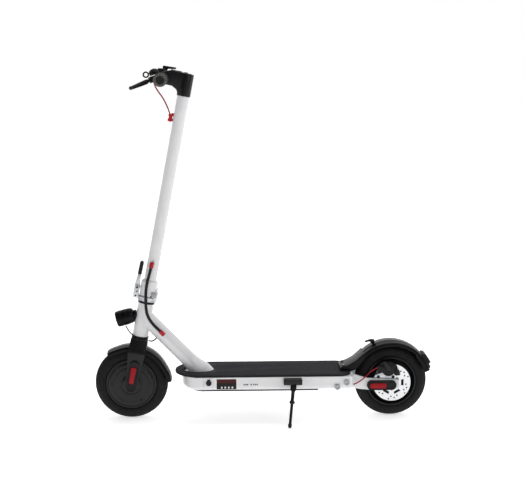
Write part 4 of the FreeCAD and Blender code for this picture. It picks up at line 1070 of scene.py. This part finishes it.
class SCOOTER_OT_rear_fender(PieceOperator, bpy.types.Operator):
    """Moulds the rear mudguard with its ramp onto the deck, its hook and its tail lamp"""
    bl_idname = "scooter.rear_fender"
    bl_label = "Rear mudguard"

    def execute(self, context):
        start = REAR_HUB @ Matrix.Rotation(math.radians(-17), 4, "Z")
        guard = turned("rear_mudguard", fender_section(38, 117, 130), start, steps=64, degrees=123)
        pick(guard, lambda co: math.hypot(co.x - REAR_AXLE.x, co.z - REAR_AXLE.z) < 0.1195
             and co.x > REAR_AXLE.x + 0.085)
        bpy.ops.transform.translate(value=(-0.0065, 0, -0.0025), use_proportional_edit=True,
                                    proportional_edit_falloff="SMOOTH", proportional_size=0.014)
        bpy.ops.object.mode_set(mode="OBJECT")
        soften(guard, 0.7, 2, 60)
        ramp = slab("rear_ramp", [(661, 150.6, 2), (692, 150.6, 8), (714, 161, 30), (737, 190, 20),
                                  (744, 204, 0), (734, 209.5, 0), (722, 198.4, 30), (706, 184, 60),
                                  (684, 172, 40), (661, 166, 6)], -38, 38, ROW, 4.5, 4)
        carve(ramp, slab("ramp_room", [(666, 149, 0), (690, 149, 0), (706, 158, 0), (738, 192, 0),
                                       (752, 212, 0), (738, 211, 0), (722, 196, 0), (705, 180, 0),
                                       (684, 168, 0), (666, 163, 0)], -35, 35, ROW))
        hook = slab("fender_hook", [(766, 231, 2), (773, 235, 2), (772, 247.4, 3), (759, 247.4, 3),
                                    (742, 241.4, 1.5), (742.6, 237.6, 1.5), (757, 240.6, 3)], -5, 5, ROW, 1.2)
        dress(joined("rear_mudguard", guard, ramp, hook), gloss_black_plastic, "frame", "black_plastic",
              "rear_fender", smooth=35)
        lamp = slab("tail_lamp_housing", [(936, 156, 2), (948.6, 156.6, 2), (950.4, 163.4, 2), (945, 172, 3),
                                          (951.4, 176, 2), (943.4, 189.6, 4), (934.4, 201.6, 3),
                                          (924, 203, 2), (922, 195, 0), (931, 181, 0), (936, 168, 0)], -26,
                    26, ROW, 1.4)
        dress(lamp, moulded_black_plastic, "frame", "black_plastic")
        lens = slab("tail_lamp_lens", [(940, 158.4, 1), (947.4, 158.6, 1.5), (949, 163, 1.5), (943.8, 172, 2),
                                       (949.8, 176, 1.5), (942, 188.8, 3), (934, 199.6, 2), (927, 192, 1),
                                       (937, 172, 0)], -21, 21, ROW, 0.5)
        side = slab("reflector_left", [(751.5, 106, 7.5), (803.6, 106, 5), (803.6, 122.5, 5),
                                       (751.5, 122.5, 7.5)], -73.5, -69, ROW, 0.8)
        twin = copied(side, "reflector_right", mirror=True)
        dress(joined("rear_red_lenses", lens, side, twin), red_reflector, "frame", "red_lens", "rear_lenses")
        return {"FINISHED"}


class SCOOTER_OT_rear_arms(PieceOperator, bpy.types.Operator):
    """Shapes the rear arms and the pill-shaped covers over the rear axle's ends"""
    bl_idname = "scooter.rear_arms"
    bl_label = "Rear arms"

    def execute(self, context):
        arm = slab("arm_left", [(690, 148, 2), (706, 148.6, 12), (742, 137, 30), (790, 134, 20),
                                (838, 131, 6), (846, 124, 5), (846, 106, 5), (838, 99, 8), (752, 99, 30),
                                (719.5, 101.5, 30), (690, 109, 2)], -62, -54, ROW, 2.2, 3)
        twin = copied(arm, "arm_right", mirror=True)
        dress(joined("rear_arm_pair", arm, twin), gloss_white_enamel, "frame", "white_paint", "rear_arms")
        cover = slab("rear_cover_left", [(742.7, 100, 14.6), (835.7, 100, 14.6), (835.7, 130.3, 14.6),
                                         (742.7, 130.3, 14.6)], -72, -62.1, ROW)
        pick(cover, lambda c, n: n.y < -0.9, "FACE")
        bpy.ops.mesh.inset(thickness=0.0026, depth=0)
        bpy.ops.mesh.inset(thickness=0.0008, depth=-0.0018)
        bpy.ops.object.mode_set(mode="OBJECT")
        soften(cover, 1.0, 3, 50)
        cap = turned("rear_axle_cap", [(0, -69.6), (10.6, -69.6), (10.6, -71.2), (9.8, -72), (6.6, -72),
                                       (6, -70.8), (0, -70.8)], about(spot(820, 0, 115), (0, 1, 0)), 48,
                     closed=False)
        cover = joined("rear_cover_left", cover, cap)
        twin = copied(cover, "rear_cover_right", mirror=True)
        dress(joined("rear_axle_covers", cover, twin), moulded_black_plastic, "frame", "black_plastic",
              "rear_covers")
        return {"FINISHED"}


class SCOOTER_OT_caliper(PieceOperator, bpy.types.Operator):
    """Builds the disc brake's caliper, its bracket and its arm"""
    bl_idname = "scooter.caliper"
    bl_label = "Brake caliper"

    def execute(self, context):
        body = slab("caliper_casting", [(780, 147, 5), (826, 147, 10), (842.6, 158, 8), (840, 173, 8),
                                        (822, 183.6, 8), (790, 183.6, 8), (779.4, 171, 6)], -49.8, -27.2, ROW,
                    2.4, 3)
        carve(body, slab("pad_slot", even(0, (768, 140), (852, 140), (852, 178), (768, 178)), -40.8, -33.4,
                         ROW))
        boss = turned("caliper_drum", [(0, -49.5), (0, -56.4), (5, -56.4), (6, -57.6), (9, -57.6),
                                       (10, -56.2), (15, -56.2), (17.4, -55.2), (19.6, -54.6), (21, -53.2),
                                       (21.4, -49.5)], about(spot(812, 0, 160.5), (0, 1, 0)), 64,
                      closed=False)
        knob = turned("pad_adjuster", [(0, -49.5), (0, -56), (3, -56), (3.6, -57), (6.6, -57), (7.4, -56),
                                       (9.6, -55), (10.4, -53.4), (10.4, -49.5)],
                      about(spot(838, 0, 152), (0, 1, 0)), 40, closed=False)
        arm_lug = slab("cable_lug", [(774.5, 158, 3), (794, 150, 2), (794, 172, 2), (776, 170, 3)], -55,
                       -49.6, ROW, 1.2)
        stop = post("cable_stop", 3.6, spot(786, -52, 171), spot(776, -55.5, 169.6), 0.5, 20)
        pads = [slab(f"pad_{side}", even(2, (798, 152), (824, 152), (824, 172), (798, 172)), low, high, ROW)
                for side, low, high in (("outer", -40.9, -38.6), ("inner", -35.6, -33.1))]
        dress(joined("caliper_casting", body, boss, knob, arm_lug, stop, *pads), moulded_black_plastic,
              "frame", "black_plastic", "caliper_body")
        plate = slab("caliper_plate", [(768, 129.2, 5), (836, 129.2, 5), (836, 146, 4), (822, 152, 6),
                                       (813, 149, 4), (799, 149, 4), (790, 152, 6), (768, 144, 5)], -53.9,
                     -50, ROW, 0.8)
        dress(plate, cast_aluminium, "frame", "bare_aluminium", "caliper_bracket")
        bolts = [post("caliper_bolt", 4.8, spot(back, -53.7, 138.4), spot(back, -57.4, 138.4), 0.8, 24)
                 for back in (780, 826.6)]
        sockets = [post("bolt_socket", 2.4, spot(back, -55.6, 138.4), spot(back, -58, 138.4), 0, 6)
                   for back in (780, 826.6)]
        for bolt, socket in zip(bolts, sockets):
            carve(bolt, socket)
        dress(joined("caliper_bolts", *bolts), blackened_steel, "frame", "steel")
        arm = slab("caliper_lever", [(806, 158, 4), (818, 158, 4), (819, 170, 4), (800, 190, 3),
                                     (792, 187, 3), (804, 168, 3)], -60.4, -57.7, ROW, 0.5)
        dress(arm, satin_black_enamel, "caliper_arm", "black_paint", "caliper_arm")
        return {"FINISHED"}


def leg_frame():
    """At the kickstand's pivot, Z down the leg and X along its pin."""
    down = (FOOT - PIVOT).normalized()
    pin_axis = down.cross(Vector((0.99, -0.06, 0.07))).normalized()
    side = down.cross(pin_axis)
    turn = Matrix((pin_axis, side, down)).transposed().to_4x4()
    return Matrix.Translation(PIVOT) @ turn


class SCOOTER_OT_kickstand(PieceOperator, bpy.types.Operator):
    """Builds the kickstand's bracket, pin, leg with its collar, and foot"""
    bl_idname = "scooter.kickstand"
    bl_label = "Kickstand"

    def execute(self, context):
        frame_at = leg_frame()
        reach = (FOOT - PIVOT).length / MM

        def ring(name, profile, steps=40):
            return turned(name, profile, frame_at, steps, closed=False)
        leg = ring("leg_rod", [(0, 0), (5.6, 0), (5.6, 34.6), (6.4, 35.4), (8.4, 37), (8.8, 39), (8.8, 42),
                               (7.6, 44), (5, 45.4), (4.7, 47), (4.4, reach - 7.5), (0, reach - 7.5)])
        foot = ring("leg_foot", [(0, reach - 8), (5.2, reach - 8), (6, reach - 7), (6, reach),
                                 (5.2, reach + 3), (3.2, reach + 5), (0, reach + 6)])
        eye = post("leg_eye", 8.5, frame_at @ Vector((-0.005, 0, 0)), frame_at @ Vector((0.005, 0, 0)), 0.6,
                   40)
        dress(joined("kickstand_leg", leg, foot, eye), satin_black_enamel, "kickstand", "black_paint",
              "kickstand")
        block = slab("stand_block", even(3, (478, 128.5), (536, 128.5), (536, 147), (478, 147)), -104, -87,
                     ROW, 1.2)
        cheeks = []
        for low, high in ((5.4, 9.3), (-9.3, -5.4)):
            side = [(-9, 0, 0), (-9, -26, 2), (9, -26, 2), (9, 0, 0), (6.4, 6.4, 0), (0, 9, 0),
                    (-6.4, 6.4, 0)]
            cheeks.append(slab("cheek", side, low, high, frame_at @ ACROSS, 0.7))
        bridge = slab("bridge", even(1, (-9.3, -25.6), (9.3, -25.6), (9.3, -11), (-9.3, -11)), -9, 9,
                      frame_at, 0.7)
        bolt = post("pivot_bolt", 5, frame_at @ Vector((0.0093, 0, 0)), frame_at @ Vector((0.011, 0, 0)), 0.5,
                    6)
        pin = post("pivot_pin", 3, frame_at @ Vector((-0.0093, 0, 0)), frame_at @ Vector((0.0093, 0, 0)), 0,
                   24)
        dress(joined("kickstand_mount", block, *cheeks, bridge, bolt, pin), satin_black_enamel, "frame",
              "black_paint", "kickstand_bracket")
        return {"FINISHED"}


class SCOOTER_OT_folding_joint(PieceOperator, bpy.types.Operator):
    """Casts the folding joint's base and its lever"""
    bl_idname = "scooter.folding_joint"
    bl_label = "Folding joint"

    def execute(self, context):
        plate = turned("joint_plate", [(0, 270), (28.6, 270), (30, 271.4), (30, 274.6), (29, 275.4),
                                       (29, 277.4), (30, 278.2), (30, 282), (28.6, 283.5), (0, 283.5)], STEER,
                       96, closed=False)
        parts = [plate]
        for low, high in ((15, 21), (-21, -15)):
            parts.append(slab("cheek", [(13, 276, 0), (31, 276, 3), (31, 295, 5), (26, 300, 4), (17, 300, 4),
                                        (13, 296, 3)], low, high, STEER, 1.0))
        for low, high in ((7.4, 11.5), (-11.5, -7.4)):
            parts.append(slab("horn", [(-45, 274, 3), (-22, 274, 0), (-22, 283, 1), (-29, 284, 3),
                                       (-29, 312, 3), (-34, 316, 3), (-42, 316, 4), (-45, 308, 3)], low, high,
                              STEER, 1.0))
        dress(joined("joint_casting", *parts), cast_aluminium, "fork", "bare_aluminium", "fold_base")
        bolts = []
        for side in (-1, 1):
            for back, rise, radius in ((-37, 281, 2.8), (-34.5, 295, 2.4)):
                bolts.append(post("joint_bolt", radius, column(back, side * 11.2, rise),
                                  column(back, side * 12.8, rise), 0.4, 24))
            bolts.append(post("joint_bolt", 3.6, column(-36, side * 11.4, 308), column(-36, side * 13, 308),
                              0.5, 6))
        dress(joined("joint_bolts", *bolts), blackened_steel, "fork", "steel")
        blade = slab("latch_blade", [(-26.8, 305, 2), (-26.8, 311, 2), (-30, 318, 4), (-31, 330, 10),
                                     (-31, 352, 0), (-40, 352, 0), (-43, 330, 10), (-45, 316, 6),
                                     (-44, 303, 4), (-38, 298.7, 3), (-31, 299.2, 3)], -7, 7, STEER, 1.2)
        dress(blade, cast_aluminium, "fold_lever", "bare_aluminium", "fold_lever")
        grip = slab("latch_grip", [(-30, 349, 0), (-29, 386, 4), (-32, 391, 3), (-38, 391, 3), (-41, 386, 4),
                                   (-42, 349, 0)], -9, 9, STEER, 2.4, 4)
        dress(grip, grip_rubber, "fold_lever", "black_rubber", "lever_grip")
        return {"FINISHED"}


class SCOOTER_OT_stem_head(PieceOperator, bpy.types.Operator):
    """Casts the stem's head that carries the bar, and its display"""
    bl_idname = "scooter.stem_head"
    bl_label = "Stem head"

    def execute(self, context):
        arm = slab("stem_neck", [(16, 940, 0), (16, 988, 4), (-48, 990, 16), (-75, 980, 14), (-86, 964, 8),
                                 (-84, 950, 8), (-72, 943.4, 10), (-40, 943, 16), (-24, 934, 12),
                                 (-18, 920, 0), (10, 920, 0)], -17.5, 17.5, STEER, 5.5, 5)
        collar = turned("stem_collar", [(0, 918), (20.2, 918), (21, 918.8), (21, 984), (19.4, 987), (0, 988)],
                        STEER, 96, closed=False)
        dress(joined("stem_casting", collar, arm), satin_black_enamel, "stem", "black_paint", "stem_head",
              smooth=35)
        glass = slab("display_window", [(-13, -50, 4), (13, -50, 4), (13, -17, 4), (-13, -17, 4)], 989.2,
                     991.4, STEER @ Matrix(((0, 0, 1, 0), (1, 0, 0, 0), (0, 1, 0, 0), (0, 0, 0, 1))), 0.5)
        dress(glass, display_acrylic, "stem", "display_plastic", "dash_display")
        return {"FINISHED"}


class SCOOTER_OT_grips(PieceOperator, bpy.types.Operator):
    """Moulds both ribbed handlebar grips with their end flanges"""
    bl_idname = "scooter.grips"
    bl_label = "Grips"

    def execute(self, context):
        outline = [(0, 211.6), (11, 211.6), (12, 212.6), (19.8, 212.6), (20.5, 212),
                   (20.5, 210.6), (19.4, 208.8), (16.9, 207)]
        at = 205.0
        while at > 108:
            outline += [(16.5, at), (16.5, at - 2.2), (15.6, at - 2.8), (15.6, at - 3.6)]
            at -= 4.2
        outline += [(16.5, 106), (17.6, 104.4), (19.5, 102.6), (19.5, 99), (18.6, 98), (11.1, 98),
                    (11.1, 205.4), (0, 205.4)]
        grip = turned("grip_left", [(r, -y) for r, y in outline], about(BAR, (0, 1, 0)), 64, closed=False)
        ring = turned("grip_ring_left", [(11.6, -212.4), (12.4, -214.2), (13.4, -215), (17.8, -215),
                                         (19.6, -214.1), (20.3, -212.7)], about(BAR, (0, 1, 0)), 64)
        # the end rings take the black rubber with the painted sheen
        dress(joined("grip_end_rings", ring, copied(ring, "grip_ring_right", mirror=True)), painted_sheen_rubber,
              "stem", "black_rubber")
        twin = copied(grip, "grip_right", mirror=True)
        dress(joined("grip_pair", grip, twin), grip_rubber, "stem", "black_rubber", "grips", smooth=30)
        return {"FINISHED"}


class SCOOTER_OT_throttle(PieceOperator, bpy.types.Operator):
    """Builds the thumb throttle's clamp, housing and paddle"""
    bl_idname = "scooter.throttle"
    bl_label = "Throttle"

    def execute(self, context):
        bar = about(BAR, (0, 1, 0))
        rings = [turned("clamp", [(BAR_RADIUS, a), (17.4, a), (18, a + 0.6), (18, b - 0.6), (17.4, b),
                                  (BAR_RADIUS, b)], bar, 64) for a, b in ((56, 65.7), (76.3, 92))]
        core = turned("clamp_core", [(BAR_RADIUS, 56), (13.1, 56), (13.1, 92), (BAR_RADIUS, 92)], bar, 48)
        box_low = slab("throttle_box", even(3, (-26, -2), (-12, -2), (-12, 26), (-26, 26)), 40, 65.7,
                       BAR_FRAME, 2)
        box_high = slab("throttle_top", even(4, (-20, 8), (4, 12), (4, 28), (-20, 30)), 40, 65.7, BAR_FRAME,
                        2.4, 4)
        carve(box_low, box_high, "UNION")
        carve(box_low, post("bar_room", BAR_ROOM, BAR - Vector((0, 0.1, 0)), BAR + Vector((0, 0.1, 0)), 0,
                            48))
        dress(joined("throttle_pod", box_low, core, *rings), moulded_black_plastic, "stem", "black_plastic",
              "throttle_housing")
        hub = turned("paddle_hub", [(13.3, 66), (17.9, 66), (18.5, 66.6), (18.5, 75.4), (17.9, 76),
                                    (13.3, 76)], bar, 64)
        wing = slab("paddle_wing", [(-4, 14, 0), (6, 14, 0), (10, 27, 3), (35, 26, 2), (36, 31, 2),
                                    (-6, 38, 4)], 66, 76, BAR_FRAME, 1.0)
        tip = slab("paddle_tip", [(8, 29, 2), (35, 26, 2), (36, 31, 2), (6, 35.5, 2)], 74, 96, BAR_FRAME, 1.3)
        dress(joined("thumb_paddle", hub, wing, tip), moulded_black_plastic, "throttle", "black_plastic",
              "throttle_paddle")
        return {"FINISHED"}


class SCOOTER_OT_brake_lever(PieceOperator, bpy.types.Operator):
    """Forges the brake lever with its ball end and the perch that carries it"""
    bl_idname = "scooter.brake_lever"
    bl_label = "Brake lever"

    def execute(self, context):
        flat = LEVER @ SWAP
        blade = slab("lever_blade", [(-6, -5, 4), (6, -5, 4), (18, 6, 14), (36, 28, 30), (49, 58, 60),
                                     (57, 92, 80), (61.5, 118, 3), (54, 118, 3), (47, 92, 80), (39, 62, 60),
                                     (27, 38, 30), (12, 18, 14), (-2, 7, 5), (-7, 2, 4)], -9, 9, flat)
        carve(blade, slab("lever_side_view", [(-12, -4.9, 0), (9, -4.9, 0), (16, -7.6, 6), (34, -7, 30),
                                              (66, -4.6, 0), (66, 4.2, 0), (34, 6, 30), (16, 6.8, 6),
                                              (9, 4.9, 0), (-12, 4.9, 0)], -20, 140, LEVER), "INTERSECT")
        soften(blade, 1.8, 3, 45)
        deselect()
        bpy.ops.mesh.primitive_uv_sphere_add(segments=32, ring_count=16, radius=5.6 * MM,
                                             location=LEVER @ Vector((57.5 * MM, 118 * MM, 0)))
        ball = started("lever_ball")
        bpy.ops.object.transform_apply(location=True, rotation=True, scale=True)
        carve(blade, ball, "UNION")
        dress(blade, satin_black_enamel, "brake_lever", "black_paint", "brake_lever", smooth=50)
        clamp = turned("perch_clamp", [(BAR_RADIUS, -94), (16.4, -94), (17, -93.4), (17, -74.6), (16.4, -74),
                                       (BAR_RADIUS, -74)], about(BAR, (0, 1, 0)), 64)
        jaws = [slab("jaw", [(-20, -10, 2), (8, -10, 4), (9, 4, 4), (2, 9, 4), (-20, 9, 2)], low, high, flat,
                     0.8) for low, high in ((5.3, 9), (-9, -5.3))]
        back = slab("perch_back", even(1, (-22, -10), (-12, -10), (-12, 9), (-22, 9)), -9, 9, flat, 0.8)
        web = slab("perch_web", even(1, (-8, -14), (6, -14), (6, -9.3), (-8, -9.3)), -9, 9, flat, 0.8)
        carve(back, post("bar_room", BAR_ROOM, BAR - Vector((0, 0.15, 0)), BAR + Vector((0, 0.1, 0)), 0, 48))
        turn = LEVER @ Matrix.Translation((-4 * MM, -8 * MM, 0)) @ Matrix.Rotation(math.radians(90), 4, "X")
        adjuster = turned("adjuster", [(0, 2), (5, 2), (5, 8), (4.4, 9), (4.4, 10), (5, 11), (5, 13),
                                       (4.4, 14), (4.4, 15), (5, 16), (5, 20), (3.4, 22), (3, 24), (0, 24)],
                          turn, 32, closed=False)
        pin = post("lever_pin", 3.4, LEVER @ Vector((0, 0, -9.6 * MM)), LEVER @ Vector((0, 0, 9.6 * MM)), 0.5,
                   6)
        dress(joined("lever_perch", clamp, *jaws, back, web, adjuster, pin), moulded_black_plastic, "stem",
              "black_plastic", "lever_mount")
        return {"FINISHED"}


class SCOOTER_OT_bell(PieceOperator, bpy.types.Operator):
    """Builds the bell: clamp, dome with its ring, and the finger loop that strikes it"""
    bl_idname = "scooter.bell"
    bl_label = "Bell"

    def execute(self, context):
        clamp = turned("bell_clamp", [(BAR_RADIUS, -60), (15.4, -60), (16, -59.4), (16, -46.6), (15.4, -46),
                                      (BAR_RADIUS, -46)], about(BAR, (0, 1, 0)), 64)
        dome = turned("bell_dome", [(0, 0), (13.4, 0), (14, 0.6), (14.6, 2.6), (15, 3.2), (15, 5),
                                    (14.2, 5.6), (14.2, 6.4), (15, 7), (14.6, 9.6), (13, 12.8), (10.4, 15.2),
                                    (6.6, 17.2), (3.4, 17.9), (0, 18)], BELL_SEAT, 72, closed=False)
        bridge = slab("bell_bridge", even(2, (-22, 4), (-8, 4), (-8, 14), (-22, 14)), -58, -48, BAR_FRAME, 1)
        carve(bridge, post("bar_room", BAR_ROOM, BAR - Vector((0, 0.15, 0)), BAR + Vector((0, 0.1, 0)), 0,
                           48))
        dress(joined("bell_case", clamp, dome, bridge), moulded_black_plastic, "stem", "black_plastic",
              "bell_body")
        middle = BELL_SEAT @ Vector((-24.7 * MM, 0, 8.5 * MM))
        loop = turned("bell_loop", [(5.4, -2.4), (6.2, -3.4), (8.8, -3.4), (9.8, -2.4), (9.8, 2.4),
                                    (8.8, 3.4), (6.2, 3.4), (5.4, 2.4)], about(middle, (0, 1, 0)), 48)
        dress(loop, moulded_black_plastic, "bell_lever", "black_plastic", "bell_lever")
        return {"FINISHED"}


def nozzle(name, end, after):
    """A red sleeve over a lead's last centimetre, with a round shoulder where it leaves the tube."""
    return turned(name, [(4.4, -9), (6.2, -9), (6.7, -8), (6.7, 6), (6.2, 8), (5.4, 9.6), (4.4, 10)],
                  about(end, after - end), 48)


class SCOOTER_OT_sleeves(PieceOperator, bpy.types.Operator):
    """Moulds the red sleeves at the main lead's ends and the clip that holds the brake cable"""
    bl_idname = "scooter.sleeves"
    bl_label = "Sleeves and clip"

    def execute(self, context):
        upper = nozzle("sleeve_upper", spot(69.8, -24, 496), spot(63.5, -30, 471))
        clip = slab("cable_clip", [(-36, 836, 3), (-26, 834, 2), (-18.4, 837, 1), (-18.4, 842, 2),
                                   (-22.5, 847.5, 5), (-18.4, 854, 2), (-18.6, 860, 1), (-23, 863, 3),
                                   (-28.5, 857, 4), (-33, 859.5, 3), (-35, 855.5, 2), (-32, 847.5, 6)], -6, 6,
                    STEER, 1.4)
        dress(joined("upper_sleeve_and_clip", upper, clip), red_silicone, "stem", "red_rubber",
              "stem_grommets")
        lower = nozzle("lower_sleeve", spot(99, -29.6, 281), spot(79, -36, 302))
        dress(lower, red_silicone, "frame", "red_rubber", "lower_grommet")
        return {"FINISHED"}


def route(*points):
    return [spot(*point) for point in points]


class SCOOTER_OT_leads(PieceOperator, bpy.types.Operator):
    """Runs the brake cables, the ribbed main lead and the lamp's and motor's wires"""
    bl_idname = "scooter.leads"
    bl_label = "Leads"

    def execute(self, context):
        front = lead("front_brake_sheath", route((86.7, -52.5, 1070.5), (87, -49, 1058), (95, -42, 1038),
                                                 (113.5, -28, 1012), (125, -12, 985), (130.5, -3, 968),
                                                 (133.4, 0, 959)), 2.2)
        dress(front, wine_sheath, "stem", "red_rubber", "front_brake_cable")
        rear = lead("rear_brake_sheath", route((698, -79, 122), (716, -78, 129), (738, -73, 146),
                                               (758, -64, 163), (778, -56, 170)), 2)
        dress(rear, wine_sheath, "frame", "red_rubber", "rear_brake_cable")
        upper = lead("main_sleeve_upper", route((69.8, -24, 496), (63.5, -30, 471), (55, -38, 443),
                                                (51, -43, 414), (51, -43, 384)), 5, 3.2)
        dress(upper, grip_rubber, None, "black_rubber", "main_lead_upper")
        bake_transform(upper)
        lower = lead("main_sleeve_lower", route((51, -43, 383.9), (51, -43, 353), (61.5, -41, 326),
                                                (79, -36, 302), (99, -29.6, 281)), 5, 3.2)
        dress(lower, grip_rubber, None, "black_rubber", "main_lead_lower")
        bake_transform(lower)
        motor = lead("motor_wire", route((54.6, 0, 249.5), (62, 0, 247.3), (70.4, 0, 248), (79.2, 0, 256.3)),
                     2.2)
        dress(motor, grip_rubber, None, "black_rubber", "motor_lead")
        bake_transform(motor)
        lamp = lead("lamp_wire", route((-16, 0, 297.3), (-9, -5, 287), (-1, -12, 277), (9, -19, 270.5)), 1.8)
        dress(lamp, grip_rubber, "frame", "black_rubber", "headlight_wire")
        return {"FINISHED"}


PIECE_OPERATORS = (
    SCOOTER_OT_stage, SCOOTER_OT_finishes, SCOOTER_OT_tyres, SCOOTER_OT_wheels, SCOOTER_OT_fork,
    SCOOTER_OT_fork_covers, SCOOTER_OT_front_fender, SCOOTER_OT_headlight, SCOOTER_OT_deck,
    SCOOTER_OT_side_label, SCOOTER_OT_mat, SCOOTER_OT_rear_fender, SCOOTER_OT_rear_arms, SCOOTER_OT_caliper,
    SCOOTER_OT_kickstand, SCOOTER_OT_folding_joint, SCOOTER_OT_stem_head, SCOOTER_OT_grips,
    SCOOTER_OT_throttle, SCOOTER_OT_brake_lever, SCOOTER_OT_bell, SCOOTER_OT_sleeves, SCOOTER_OT_leads,
)


class SCOOTER_PT_pieces(bpy.types.Panel):
    """Lists the scooter's pieces"""
    bl_label = "Scooter"
    bl_idname = "SCOOTER_PT_pieces"
    bl_space_type = "VIEW_3D"
    bl_region_type = "UI"
    bl_category = "Scooter"

    def draw(self, context):
        for operator in PIECE_OPERATORS:
            self.layout.operator(operator.bl_idname)
        for name in ScooterSettings.__annotations__:
            self.layout.prop(settings(), name)


CLASSES = (ScooterSettings, *PIECE_OPERATORS, SCOOTER_PT_pieces)


def register():
    for cls in CLASSES:
        bpy.utils.register_class(cls)
    bpy.types.Scene.scooter = PointerProperty(type=ScooterSettings)


def unregister():
    del bpy.types.Scene.scooter
    for cls in reversed(CLASSES):
        bpy.utils.unregister_class(cls)


def main():
    register()
    for operator in PIECE_OPERATORS:
        group, name = operator.bl_idname.split(".")
        getattr(getattr(bpy.ops, group), name)()
    deselect()


if __name__ == "__main__":
    main()
